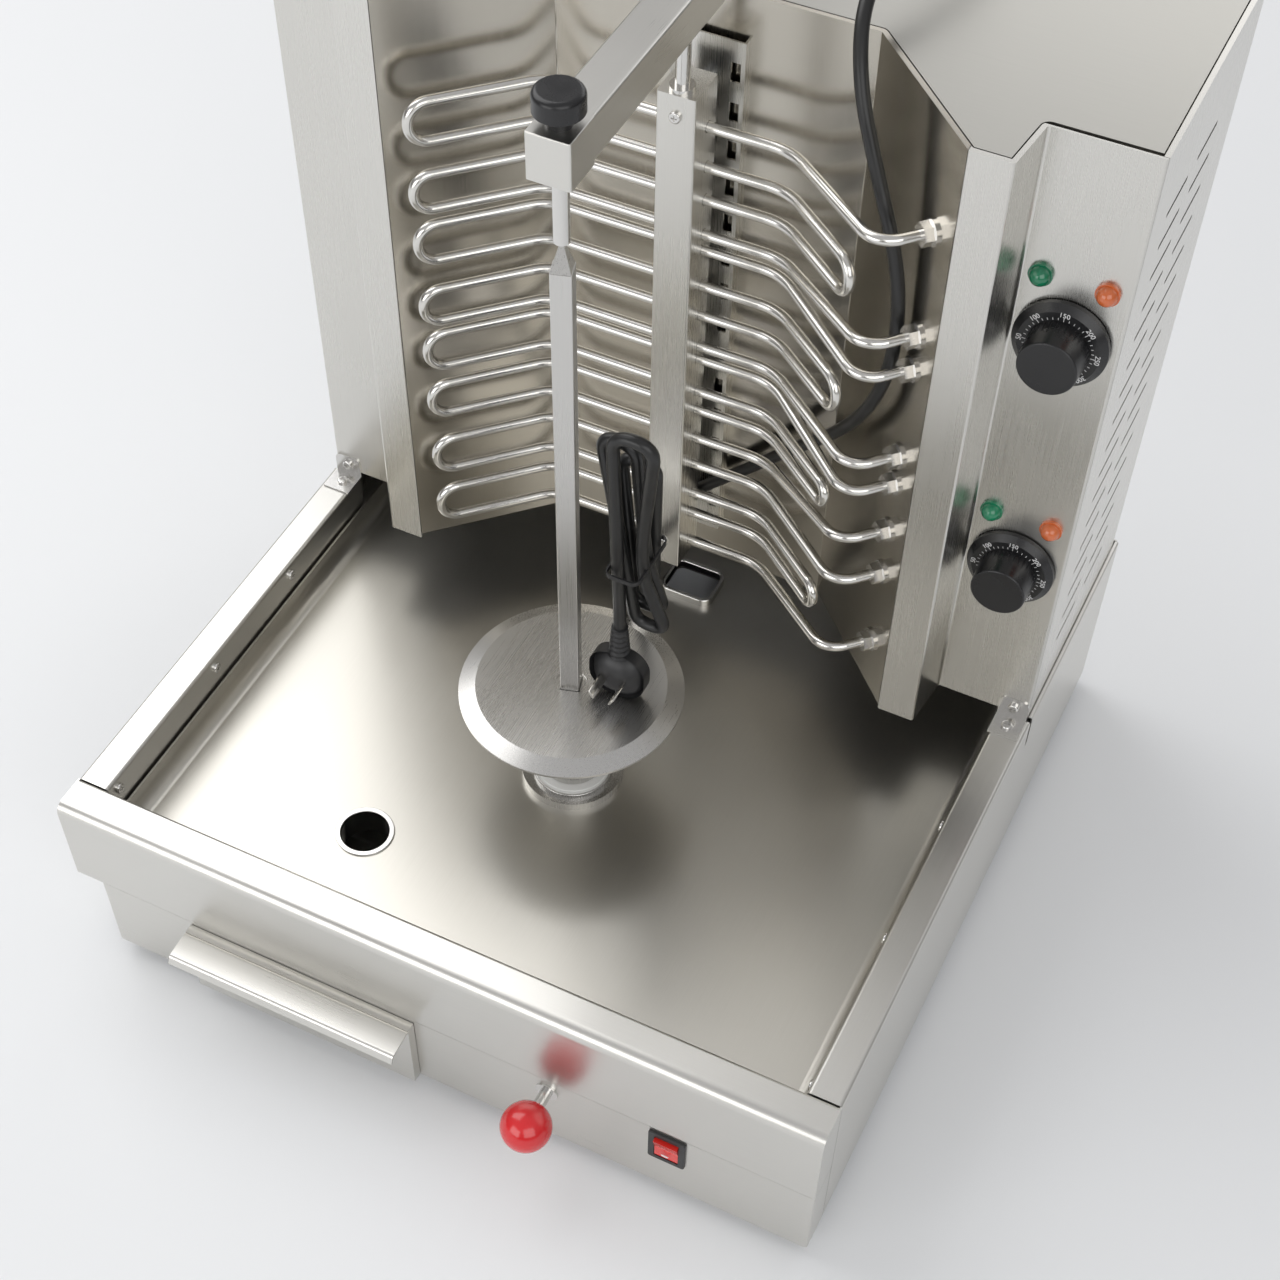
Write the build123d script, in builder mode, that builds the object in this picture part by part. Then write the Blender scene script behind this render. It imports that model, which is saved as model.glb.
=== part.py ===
from build123d import *
import math
import os

# Electric doner kebab grill: a low base with a drip deck, a heated cabinet with a niche behind the
# spit, a turning disc with a square spit, and a top arm with a lift-out pin.
# Frame: millimetres, +Z up, X to the right, the front faces -Y. The origin lies on the table, in the
# middle of the footprint.

os.makedirs("parts", exist_ok=True)

# Sheet metal
sheet = 1.2
pan_sheet = 1.5
bend = 1.8
seam_gap = 0.4
run_gap = 0.05
part_gap = 0.3

# Base
base_width = 530.0
base_length = 500.0
base_height = 140.0
foot_height = 12.0
foot_radius = 12.0
apron_depth = 26.0
apron_height = 73.0
nose_radius = 8.0
front_set_back = 1.0
front_inset = 18.0
rail_width = 22.0
rail_length = 316.0
ledge_width = 12.0
slit_length = 4.0
slit_depth = 25.0

# Deck
floor_height = 110.0
deck_length = 478.5
deck_lip = 18.0
deck_clearance = 1.5
deck_bend = 10.0
drain_x = -98.0
drain_y = 70.0
drain_radius = 16.0
drain_rim = 3.5
drain_drop = 20.0
vent_y = 364.0
vent_width = 34.0
vent_length = 27.0
vent_rim = 3.0
vent_rim_height = 6.0

# Cabinet, measured from the seam between apron and rails
cabinet_clearance = 3.0
cabinet_top = 586.2
panel_set = 317.0
wing_set = 280.4
niche_set = 354.7
cabinet_rear_set = 495.0
panel_width = 62.0
recess_slant = 4.0
wing_width = 24.3
niche_half = 95.9
hem = 3.0
roof_gap = 0.8
liner_low = 160.0
front_low = 156.0
slot_count = 17
slot_pitch = 20.75
slot_length = 37.0
slot_height = 3.0
slot_top = 528.0
slot_starts = (36.0, 90.0)

# Heating elements
tube_radius = 3.3
element_runs = ((519.0, 493.0, 471.0, 447.0), (436.0, 410.0, 388.0, 364.0),
                (354.0, 328.0, 313.0, 289.0), (266.0, 240.0, 222.0, 196.0))
element_ends = ((521.0, 452.0), (428.0, 362.0), (340.0, 301.0), (264.0, 201.0))
run_set = 328.0
element_off_wall = 24.0
element_to_wing = 11.3
bow_x = 62.0
bow_reach_x = 117.0
bow_reach_set = 285.0
tail_set = 22.0
tail_inside = 20.0
nut_flat = 12.0
nut_height = 6.0
flange_radius = 7.8
flange_height = 1.5

# Element channel
channel_width = 23.5
channel_set = 310.0
channel_depth = 28.0
channel_low = 186.0
channel_top = 546.0
rail_channel_width = 45.0
rail_channel_depth = 4.7
rail_channel_low = 190.0
rail_channel_top = 560.0
spacer_radius = 4.0
spacer_heights = (205.0, 533.0)

# Controls
dial_from_edge = 32.0
dial_heights = (460.0, 285.0)
dial_radius = 27.3
dial_thickness = 6.0
grip_radius = 18.0
grip_height = 19.0
shaft_radius = 3.0
lamp_rise = 39.0
lamp_spread = 18.5
lamp_radius = 6.9
thermostat_size = 36.0
thermostat_depth = 28.0
switch_x = 168.0
switch_z = 61.0
switch_width = 25.0
switch_height = 31.0
rocker_tilt = 8.0

# Top arm
arm_width = 24.0
arm_height = 26.0
arm_wall = 1.5
arm_front_set = 164.0
arm_block = 26.0
arm_rear_set = 452.0
post_radius = 4.25
post_set = 318.0
pin_radius = 4.5
cap_radius = 13.5
cap_height = 11.0
neck_radius = 7.0
neck_height = 8.0

# Spit and its drive
spit_set = 177.0
spit_square = 12.0
spit_turn = 17.0
spit_top = 545.0
spit_point = 18.0
disc_radius = 72.0
disc_top = 200.0
disc_thickness = 4.0
disc_bevel = 11.0
hub_radius = 20.0
collar_radius = 34.0
collar_height = 6.0
washer_radius = 25.0
washer_height = 3.0
drive_radius = 10.0
housing_radius = 15.0
housing_flange = 30.0
housing_low = 95.0
gear_module = 2.0
gear_teeth = 40
pinion_teeth = 12
gear_low = 84.0
gear_height = 8.0
mesh_backlash = 0.5
pinion_x = 0.0

# Clutch lever and motor
lever_x = 85.0
lever_z = 66.0
lever_radius = 4.0
ball_radius = 16.5
ball_reach = 28.0
motor_plate_top = 79.0
motor_plate_sheet = 2.0
motor_plate_front_set = 98.0
clutch_travel = 15.0

# Grease drawer
drawer_left = -177.0
drawer_right = -10.0
drawer_low = 13.0
drawer_top = 76.0
drawer_proud = 7.0
lip_reach = 22.0
lip_drop = 6.0
tray_sheet = 1.0
tray_length = 150.0

# Mains lead
cord_radius = 4.0
cord_x = 112.0
cord_z = 470.0
gland_length = 28.0
hank_pitch = 9.0
hank_neck = 4.6
hank_x = 36.0
hank_set = 197.0
hank_waist = 316.0
plug_width = 38.0
plug_height = 38.0
plug_thickness = 20.0
plug_x = 30.0
plug_set = 185.0

# Worked-out places
knob_reach = apron_depth - front_set_back + ball_reach + ball_radius
seam_y = (knob_reach - base_length) / 2
rear_y = seam_y + base_length
half_width = base_width / 2
cabinet_half = half_width - cabinet_clearance
recess_half = cabinet_half - panel_width
wing_outer = recess_half - recess_slant
wing_inner = wing_outer - wing_width
dial_x = cabinet_half - dial_from_edge
rail_top = foot_height + base_height
panel_y = seam_y + panel_set
wing_y = seam_y + wing_set
niche_y = seam_y + niche_set
cabinet_rear = seam_y + cabinet_rear_set
spit_y = seam_y + spit_set
apron_front = seam_y - apron_depth
front_face = apron_front + front_set_back
apron_low = rail_top - apron_height
deck_bottom = floor_height - pan_sheet
run_y = seam_y + run_set


def save(piece, name):
    """Labels a finished piece and writes its file."""
    piece.part.label = name
    export_step(piece.part, f"parts/{name}.step")


def upright(y):
    """A plane across the grill at depth y: local x is X and local y is Z."""
    return Plane(origin=(0, y, 0), x_dir=(1, 0, 0), z_dir=(0, -1, 0))


def folded(points, radii, wall):
    """Adds the face of a folded sheet whose middle follows the points."""
    with BuildLine() as path:
        FilletPolyline(*points, radius=radii)
    trace(lines=path.line, line_width=wall)


def rounded_tube(points, radii, radius):
    """A round tube along straight runs joined by tangent arcs."""
    with BuildPart() as tube:
        with BuildLine() as path:
            FilletPolyline(*points, radius=radii)
        start = path.line @ 0
        with BuildSketch(Plane(origin=start, z_dir=path.line % 0)):
            Circle(radius)
        sweep(path=path.line)
    return tube


def block(x0, x1, y0, y1, z0, z1, mode=Mode.ADD):
    """A box between two corners, added to the part being built."""
    with Locations(((x0 + x1) / 2, (y0 + y1) / 2, (z0 + z1) / 2)):
        Box(x1 - x0, y1 - y0, z1 - z0, mode=mode)


def bar(start, direction, radius, length, mode=Mode.ADD):
    """A round bar from a point along a direction, added to the part being built."""
    with Locations(Plane(origin=start, z_dir=direction)):
        Cylinder(radius, length, align=(Align.CENTER, Align.CENTER, Align.MIN), mode=mode)


# Screws: pan heads with a cross recess, and a shank through its own hole
screw_head_radius = 3.6
screw_head_height = 2.2
screw_radius = 2.0
screw_length = 5.0


def screws(name, places):
    """Writes a group of pan-head screws: each a point on the sheet, the way its head faces, its shank."""
    with BuildPart() as group:
        for point, facing, shank in places:
            with Locations(Plane(origin=point, z_dir=facing)):
                Cylinder(screw_head_radius, screw_head_height,
                         align=(Align.CENTER, Align.CENTER, Align.MIN))
            bar(point, [-v for v in facing], screw_radius, shank)
        heads = group.edges().filter_by(GeomType.CIRCLE)
        rims = [e for e in heads if abs(e.radius - screw_head_radius) < 0.01]
        tops = []
        for edge in rims:
            if any((edge.arc_center - Vector(*p)).dot(Vector(*f)) > 1 for p, f, _ in places
                   if (edge.arc_center - Vector(*p)).length < screw_head_height + 0.1):
                tops.append(edge)
        fillet(tops, screw_head_height * 0.45)
        for point, facing, _ in places:
            top = Vector(*point) + Vector(*facing) * screw_head_height
            with Locations(Plane(origin=top, z_dir=facing)):
                Box(3.6, 0.9, 2.0, mode=Mode.SUBTRACT)
                Box(0.9, 3.6, 2.0, mode=Mode.SUBTRACT)
    save(group, name)


def screw_holes(places, depth=4.0):
    """Cuts the clearance holes of a group of screws."""
    for point, facing in places:
        start = Vector(*point) + Vector(*facing) * depth
        bar(start, [-v for v in facing], screw_radius + 0.2, depth * 2, mode=Mode.SUBTRACT)


drop_x = half_width - rail_width
rail_screw_places = []
for side in (-1, 1):
    for along in (10.0, 124.0, 219.0):
        rail_screw_places.append(((side * drop_x, seam_y + along, rail_top - 9.0), (-side, 0, 0)))

bracket_width = 20.0
bracket_height = 17.0
bracket_foot = 20.0
bracket_sheet = 1.2
bracket_x = cabinet_half - bracket_width / 2
bracket_foot_top = rail_top + bracket_sheet
bracket_screw_places = []
for side in (-1, 1):
    bracket_screw_places.append(((side * bracket_x, panel_y - bracket_sheet, rail_top + 9.5), (0, -1, 0)))
    bracket_screw_places.append(((side * bracket_x, panel_y - bracket_foot / 2 - 1.0, bracket_foot_top),
                                 (0, 0, 1)))


# Front apron: a folded sheet with a bull nose and closed ends
def front_apron():
    mid = sheet / 2
    rear = seam_y - seam_gap / 2 - mid
    front = apron_front + mid
    with BuildPart() as apron:
        with BuildSketch(Plane.YZ.offset(-half_width)):
            folded([(rear, apron_low + mid), (front, apron_low + mid), (front, rail_top - mid),
                    (rear, rail_top - mid), (rear, floor_height + deck_lip + 2.0)],
                   [bend, nose_radius - mid, bend], sheet)
        extrude(amount=base_width)
        for x in (-half_width, half_width - sheet):
            with BuildSketch(Plane.YZ.offset(x)):
                with BuildLine():
                    FilletPolyline((rear + mid, apron_low), (apron_front, apron_low),
                                   (apron_front, rail_top), (rear + mid, rail_top),
                                   radius=[bend, nose_radius])
                    Line((rear + mid, rail_top), (rear + mid, apron_low))
                make_face()
            extrude(amount=sheet)
    save(apron, "front_apron")


drawer_hole_margin = 3.5
switch_hole_width = switch_width - 3.0
switch_hole_height = switch_height - 3.0
bush_radius = 6.0


# Lower front panel: carries the drawer, the clutch lever and the mains switch
def lower_front_panel():
    left = -half_width + front_inset
    top = apron_low - seam_gap
    rear = seam_y - seam_gap
    with BuildPart() as panel:
        block(left, half_width, front_face, rear, foot_height, top)
        front_edges = panel.edges().filter_by(Axis.Z).group_by(Axis.Y)[0]
        fillet(front_edges, bend)
        block(left + sheet, half_width - sheet, front_face + sheet, rear + 1, foot_height + sheet, top + 1,
              mode=Mode.SUBTRACT)
        block(drawer_left + drawer_hole_margin, drawer_right - drawer_hole_margin, front_face - 1,
              front_face + sheet + 1, foot_height + sheet + 1.0, drawer_top - drawer_hole_margin / 2,
              mode=Mode.SUBTRACT)
        block(switch_x - switch_hole_width / 2, switch_x + switch_hole_width / 2, front_face - 1,
              front_face + sheet + 1, switch_z - switch_hole_height / 2, switch_z + switch_hole_height / 2,
              mode=Mode.SUBTRACT)
        bar((lever_x, front_face - 1, lever_z), (0, 1, 0), bush_radius + 0.1, sheet + 2, mode=Mode.SUBTRACT)
    save(panel, "lower_front_panel")


# Side panels: outer wall, rail, drop wall and the ledge that carries the deck
def side_panel(side, name):
    mid = sheet / 2
    outer = side * (half_width - mid)
    inner = side * (drop_x + mid)
    ledge_edge = side * (drop_x - ledge_width)
    ledge_z = deck_bottom - mid
    start = seam_y + seam_gap / 2
    step = seam_y + rail_length
    end = rear_y - sheet - seam_gap
    with BuildPart() as panel:
        with BuildSketch(upright(start)):
            folded([(outer, foot_height), (outer, rail_top - mid), (inner, rail_top - mid),
                    (inner, ledge_z), (ledge_edge, ledge_z)], bend, sheet)
        extrude(amount=start - step)
        with BuildSketch(upright(step)):
            folded([(outer, foot_height), (outer, rail_top - mid), (outer - side * 2.0, rail_top - mid)],
                   sheet * 0.75, sheet)
        extrude(amount=step - end)
        low = min(side * drop_x - side * ledge_width, outer)
        high = max(side * drop_x - side * ledge_width, outer)
        block(low, high, step - 0.01, end, deck_bottom - sheet, deck_bottom)
        slit_y = step + 0.5
        block(outer - 6, outer + 6, slit_y, slit_y + slit_length, rail_top - slit_depth, rail_top + 1,
              mode=Mode.SUBTRACT)
        screw_holes([p for p in rail_screw_places if p[0][0] * side > 0])
        screw_holes([p for p in bracket_screw_places if p[0][0] * side > 0 and p[1][2] > 0], 8.0)
    save(panel, name)


# Rear panel of the base, with a ledge inside that the cabinet back stands on
def base_rear_panel():
    with BuildPart() as panel:
        reach = half_width - sheet - seam_gap
        block(-reach, reach, rear_y - sheet, rear_y, foot_height, rail_top)
        block(-drop_x + ledge_width, drop_x - ledge_width, rear_y - 18.0, rear_y - sheet,
              deck_bottom - sheet, deck_bottom)
        for index in range(12):
            x = -drop_x + 43.0 + index * 14.0
            block(x, x + 4.0, rear_y - 3, rear_y + 1, 40.0, 90.0, mode=Mode.SUBTRACT)
    save(panel, "base_rear_panel")


# Base plate with slots under the motor
def base_plate():
    with BuildPart() as plate:
        reach = half_width - sheet - seam_gap
        block(-reach, reach, seam_y + seam_gap, rear_y - sheet - seam_gap, foot_height, foot_height + sheet)
        for index in range(8):
            x = 20.0 + index * 12.0
            block(x, x + 5.0, seam_y + 230.0, seam_y + 290.0, foot_height - 1, foot_height + sheet + 1,
                  mode=Mode.SUBTRACT)
    save(plate, "base_plate")


# Feet: tapered rubber with a recessed washer
foot_x = 220.0
foot_sets = (16.0, 476.0)


def rubber_feet():
    with BuildPart() as feet:
        for x in (-foot_x, foot_x):
            for along in foot_sets:
                with Locations((x, seam_y + along, 0)):
                    Cone(foot_radius * 0.8, foot_radius, foot_height,
                         align=(Align.CENTER, Align.CENTER, Align.MIN))
                    Cylinder(foot_radius * 0.45, foot_height * 0.5,
                             align=(Align.CENTER, Align.CENTER, Align.MIN), mode=Mode.SUBTRACT)
    save(feet, "rubber_feet")


# Deck: a shallow pressed pan with the holes for drain, drive and channel foot
def deck_pan():
    half = drop_x - deck_clearance
    start = seam_y + deck_clearance
    middle = start + deck_length / 2
    with BuildPart() as pan:
        with BuildSketch(Plane.XY.offset(deck_bottom)):
            with Locations((0, middle)):
                RectangleRounded(2 * half, deck_length, deck_bend)
        extrude(amount=deck_lip + pan_sheet)
        fillet(pan.faces().sort_by(Axis.Z)[0].edges(), deck_bend)
        offset(amount=-pan_sheet, openings=pan.faces().sort_by(Axis.Z)[-1])
        bar((drain_x, seam_y + drain_y, deck_bottom - 1), (0, 0, 1), drain_radius + 1.2, 5,
            mode=Mode.SUBTRACT)
        bar((0, spit_y, deck_bottom - 1), (0, 0, 1), housing_radius + 0.2, 5, mode=Mode.SUBTRACT)
        with BuildSketch(Plane.XY.offset(deck_bottom - 1)):
            with Locations((0, seam_y + vent_y)):
                RectangleRounded(vent_width, vent_length, 5.0)
        extrude(amount=5, mode=Mode.SUBTRACT)
    save(pan, "deck_pan")


def drain_ring():
    with BuildPart() as ring:
        with BuildSketch(Plane.XY.offset(floor_height)):
            with Locations((drain_x, seam_y + drain_y)):
                Circle(drain_radius + drain_rim)
                Circle(drain_radius, mode=Mode.SUBTRACT)
        extrude(amount=1.2)
        fillet(ring.faces().sort_by(Axis.Z)[-1].edges(), 0.5)
        with BuildSketch(Plane.XY.offset(floor_height + 0.2)):
            with Locations((drain_x, seam_y + drain_y)):
                Circle(drain_radius + 1.0)
                Circle(drain_radius, mode=Mode.SUBTRACT)
        extrude(amount=-drain_drop)
    save(ring, "drain_ring")


def vent_frame():
    with BuildPart() as rim:
        with BuildSketch(Plane.XY.offset(floor_height)):
            with Locations((0, seam_y + vent_y)):
                RectangleRounded(vent_width + 2 * vent_rim, vent_length + 2 * vent_rim, 5.0 + vent_rim)
                RectangleRounded(vent_width, vent_length, 5.0, mode=Mode.SUBTRACT)
        extrude(amount=vent_rim_height)
        fillet(rim.faces().sort_by(Axis.Z)[-1].edges(), vent_rim * 0.4)
    save(rim, "channel_foot_rim")


def corner_brackets():
    with BuildPart() as brackets:
        for side in (-1, 1):
            x = side * bracket_x
            with BuildSketch(upright(panel_y)):
                with Locations((x, rail_top + bracket_height / 2)):
                    RectangleRounded(bracket_width, bracket_height, 5.0)
                with Locations((x, rail_top + bracket_height / 4)):
                    Rectangle(bracket_width, bracket_height / 2)
            extrude(amount=bracket_sheet)
            block(x - bracket_width / 2, x + bracket_width / 2, panel_y - bracket_foot, panel_y - 0.5,
                  rail_top, rail_top + bracket_sheet)
        screw_holes([p for p in bracket_screw_places if p[1][1] < 0])
        screw_holes([p for p in bracket_screw_places if p[1][2] > 0])
    save(brackets, "corner_brackets")


# Cabinet: the plan outline of its walls, cut into separate sheets
cabinet_points = [(-cabinet_half, cabinet_rear), (-cabinet_half, panel_y), (-recess_half, panel_y),
                  (-wing_outer, wing_y), (-wing_inner, wing_y), (-niche_half, niche_y),
                  (niche_half, niche_y), (wing_inner, wing_y), (wing_outer, wing_y),
                  (recess_half, panel_y), (cabinet_half, panel_y), (cabinet_half, cabinet_rear)]


def cabinet_outline(inset):
    """The face inside the cabinet walls' outer faces, or further in by an inset."""
    with BuildSketch() as area:
        with BuildLine():
            FilletPolyline(*cabinet_points, radius=bend, close=True)
        make_face()
        if inset:
            offset(amount=-inset, mode=Mode.REPLACE)
    return area.sketch


cabinet_area = cabinet_outline(0)
cabinet_inside = cabinet_outline(sheet)
cabinet_in_hem = cabinet_outline(hem)
cabinet_roof = cabinet_outline(hem + roof_gap)


def wall_piece(x0, x1, y0, y1, low):
    """One sheet of the cabinet: the walls between two corners, with a hem along the top."""
    with BuildPart() as wall:
        with BuildSketch(Plane.XY.offset(low)):
            add(cabinet_area)
            add(cabinet_inside, mode=Mode.SUBTRACT)
            with Locations(((x0 + x1) / 2, (y0 + y1) / 2)):
                Rectangle(x1 - x0, y1 - y0, mode=Mode.INTERSECT)
        extrude(amount=cabinet_top - low)
        with BuildSketch(Plane.XY.offset(cabinet_top - sheet)):
            add(cabinet_area)
            add(cabinet_in_hem, mode=Mode.SUBTRACT)
            with Locations(((x0 + x1) / 2, (y0 + y1) / 2)):
                Rectangle(x1 - x0, y1 - y0, mode=Mode.INTERSECT)
        extrude(amount=sheet)
    return wall


wall_unit = niche_half - wing_inner
wall_rise = niche_y - wing_y
wall_run = math.hypot(wall_unit, wall_rise)
wall_dir = Vector(wall_unit / wall_run, wall_rise / wall_run, 0)
wall_normal = Vector(-wall_dir.Y, wall_dir.X, 0)


def end_point(z):
    """Where an element's tail leaves the right slanted wall."""
    return Vector(wing_inner, wing_y, z) + wall_dir * tail_set


element_end_places = [(end_point(z), wall_normal) for heights in element_ends for z in heights]


def niche_liner():
    split_x = wing_inner - seam_gap
    with BuildPart() as liner:
        add(wall_piece(-split_x, split_x, wing_y - 5, niche_y + 5, liner_low).part)
        for point, normal in element_end_places:
            bar(point - normal * 12, normal, tube_radius + 0.3, 24, mode=Mode.SUBTRACT)
    save(liner, "niche_liner")


def left_front_panel():
    with BuildPart() as panel:
        add(wall_piece(-cabinet_half - 1, -wing_inner, wing_y - 5, panel_y + sheet, front_low).part)
        screw_holes([p for p in bracket_screw_places if p[1][1] < 0])
    save(panel, "left_front_panel")


def right_front_panel():
    with BuildPart() as panel:
        add(wall_piece(wing_inner, cabinet_half + 1, wing_y - 5, panel_y + sheet, front_low).part)
        screw_holes([p for p in bracket_screw_places if p[1][1] < 0])
        for z in dial_heights:
            bar((dial_x, panel_y - 2, z), (0, 1, 0), shaft_radius + 2.0, 8, mode=Mode.SUBTRACT)
            for x in (dial_x - lamp_spread, dial_x + lamp_spread):
                bar((x, panel_y - 2, z + lamp_rise), (0, 1, 0), lamp_radius - 1.3, 8, mode=Mode.SUBTRACT)
    save(panel, "control_panel")


def cabinet_sides():
    start = panel_y + sheet + part_gap
    end = cabinet_rear - sheet - part_gap
    with BuildPart() as walls:
        for side in (-1, 1):
            x0 = min(side * (cabinet_half - hem), side * (cabinet_half + 1))
            x1 = max(side * (cabinet_half - hem), side * (cabinet_half + 1))
            add(wall_piece(x0, x1, start, end, deck_bottom).part)
        for first in slot_starts:
            for row in range(slot_count):
                z = slot_top - row * slot_pitch
                with BuildSketch(Plane.YZ.offset(-cabinet_half - 5)):
                    with Locations((panel_y + first + slot_length / 2, z)):
                        SlotOverall(slot_length, slot_height)
                extrude(amount=2 * cabinet_half + 10, mode=Mode.SUBTRACT)
    save(walls, "cabinet_sides")


def cabinet_back():
    with BuildPart() as back:
        add(wall_piece(-cabinet_half - 1, cabinet_half + 1, cabinet_rear - sheet, cabinet_rear + 1,
                       deck_bottom).part)
        for column in range(3):
            for row in range(10):
                x = -70.0 + column * 50.0
                z = 220.0 + row * 24.0
                block(x, x + 36.0, cabinet_rear - 5, cabinet_rear + 1, z, z + 4.0, mode=Mode.SUBTRACT)
        bar((cord_x, cabinet_rear - 5, cord_z), (0, 1, 0), cord_radius + 4.2, 10, mode=Mode.SUBTRACT)
    save(back, "cabinet_back")


def roof_plate():
    with BuildPart() as roof:
        with BuildSketch(Plane.XY.offset(cabinet_top - sheet)):
            add(cabinet_roof)
        extrude(amount=sheet)
        screw_holes(clamp_screw_places)
    save(roof, "roof_plate")


# Heating elements: one tube each, two hairpins on the left and one on the right
left_dir = Vector(-wall_dir.X, wall_dir.Y, 0)
left_normal = Vector(left_dir.Y, -left_dir.X, 0)
left_line = Vector(-wing_inner, wing_y, 0) + left_normal * element_off_wall
left_corner_t = (run_y - left_line.Y) / left_dir.Y
left_corner = left_line + left_dir * left_corner_t
left_end = left_line + left_dir * element_to_wing
bow_dir = Vector(bow_reach_x - bow_x, seam_y + bow_reach_set - run_y, 0).normalized()


def tail_corner():
    """Where the tail from the wall meets the bowed run."""
    foot = end_point(0)
    cross = wall_normal.X * bow_dir.Y - wall_normal.Y * bow_dir.X
    offset_x = bow_x - foot.X
    offset_y = run_y - foot.Y
    along = (offset_x * bow_dir.Y - offset_y * bow_dir.X) / cross
    return foot + wall_normal * along


def heating_element(index):
    """One element tube, from its upper end in the right wall to its lower end."""
    heights = element_runs[index]
    ends = element_ends[index]
    corner = tail_corner()
    start = end_point(ends[0]) - wall_normal * tail_inside
    finish = end_point(ends[1]) - wall_normal * tail_inside
    left_turn = (heights[0] - heights[1]) / 2 - 0.6
    right_turn = (heights[1] - heights[2]) / 2 - 0.6
    last_turn = (heights[2] - heights[3]) / 2 - 0.6
    points = [start, (corner.X, corner.Y, ends[0]), (bow_x, run_y, heights[0]),
              (left_corner.X, left_corner.Y, heights[0]), (left_end.X, left_end.Y, heights[0]),
              (left_end.X, left_end.Y, heights[1]), (left_corner.X, left_corner.Y, heights[1]),
              (bow_x, run_y, heights[1]), (bow_reach_x, seam_y + bow_reach_set, heights[1]),
              (bow_reach_x, seam_y + bow_reach_set, heights[2]), (bow_x, run_y, heights[2]),
              (left_corner.X, left_corner.Y, heights[2]), (left_end.X, left_end.Y, heights[2]),
              (left_end.X, left_end.Y, heights[3]), (left_corner.X, left_corner.Y, heights[3]),
              (bow_x, run_y, heights[3]), (corner.X, corner.Y, ends[1]), finish]
    radii = [16, 36, 28, left_turn, left_turn, 28, 36, right_turn, right_turn, 36, 28,
             last_turn, last_turn, 28, 36, 16]
    return rounded_tube(points, radii, tube_radius)


def heating_elements():
    with BuildPart() as elements:
        for index in range(len(element_runs)):
            add(heating_element(index).part)
    save(elements, "heating_elements")


def terminal_nuts():
    with BuildPart() as nuts:
        for point, normal in element_end_places:
            with BuildSketch(Plane(origin=point, z_dir=normal)):
                Circle(flange_radius)
                Circle(tube_radius + run_gap, mode=Mode.SUBTRACT)
            extrude(amount=flange_height)
            with BuildSketch(Plane(origin=point + normal * flange_height, z_dir=normal)):
                RegularPolygon(nut_flat / 2, 6, major_radius=False)
                Circle(tube_radius + run_gap, mode=Mode.SUBTRACT)
            extrude(amount=nut_height)
    save(nuts, "element_nuts")


# Channels that hold the elements
channel_screw_places = [((0, seam_y + channel_set, z), (0, -1, 0)) for z in spacer_heights]
rail_face = niche_y - rail_channel_depth


def front_channel():
    half = channel_width / 2
    front = seam_y + channel_set
    with BuildPart() as channel:
        block(-half, half, front, front + channel_depth, channel_low, channel_top)
        front_edges = channel.edges().filter_by(Axis.Z).group_by(Axis.Y)[0]
        fillet(front_edges, bend * 0.6)
        block(-half + sheet, half - sheet, front + sheet, front + channel_depth + 1, channel_low - 1,
              channel_top - sheet, mode=Mode.SUBTRACT)
        for heights in element_runs:
            for z in heights:
                bar((-half - 2, run_y, z), (1, 0, 0), tube_radius + part_gap, channel_width + 4,
                    mode=Mode.SUBTRACT)
        screw_holes(channel_screw_places)
    save(channel, "front_channel")


def rear_channel():
    half = rail_channel_width / 2
    with BuildPart() as channel:
        block(-half, half, rail_face, niche_y, rail_channel_low, rail_channel_top)
        block(-half + sheet, half - sheet, rail_face + sheet, niche_y + 1, rail_channel_low - 1,
              rail_channel_top + 1, mode=Mode.SUBTRACT)
        for row in range(14):
            z = rail_channel_low + 20.0 + row * 25.0
            block(channel_width / 2 + 2.5, half - 2.5, rail_face - 1, rail_face + sheet + 1, z, z + 12.0,
                  mode=Mode.SUBTRACT)
    save(channel, "rear_channel")


def channel_spacers():
    with BuildPart() as spacers:
        for z in spacer_heights:
            start = seam_y + channel_set + sheet
            bar((0, start, z), (0, 1, 0), spacer_radius, rail_face - start)
            bar((0, start, z), (0, 1, 0), screw_radius + 0.2, screw_length, mode=Mode.SUBTRACT)
    save(spacers, "channel_spacers")


# Thermostats, dials and lamps on the right control panel
def thermostats():
    inner = panel_y + sheet
    half = thermostat_size / 2
    with BuildPart() as bodies:
        for z in dial_heights:
            block(dial_x - half, dial_x + half, inner, inner + thermostat_depth, z - half, z + half)
            bar((dial_x, inner - 1, z), (0, 1, 0), shaft_radius + run_gap, thermostat_depth - 8,
                mode=Mode.SUBTRACT)
    save(bodies, "thermostats")


def dials():
    for label, z in zip(("upper", "lower"), dial_heights):
        with BuildPart() as knob:
            back = panel_y - 0.8
            with BuildSketch(upright(back)):
                with Locations((dial_x, z)):
                    Circle(dial_radius)
            extrude(amount=dial_thickness)
            rim = knob.faces().sort_by(Axis.Y)[0].edges()
            chamfer(rim, 3.2, 4.0)
            with BuildSketch(upright(back - dial_thickness)):
                with Locations((dial_x, z)):
                    Circle(grip_radius)
            extrude(amount=grip_height, taper=3)
            fillet(knob.faces().sort_by(Axis.Y)[0].edges(), 1.2)
            for step in range(36):
                angle = math.radians(step * 10)
                reach = grip_radius + 0.3
                x = dial_x + reach * math.cos(angle)
                h = z + reach * math.sin(angle)
                bar((x, back - dial_thickness - 1.0, h), (0, -1, 0), 0.8, grip_height - 4.0,
                    mode=Mode.SUBTRACT)
            bar((dial_x, back, z), (0, 1, 0), shaft_radius, thermostat_depth - 9)
        save(knob, f"{label}_dial")


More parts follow.
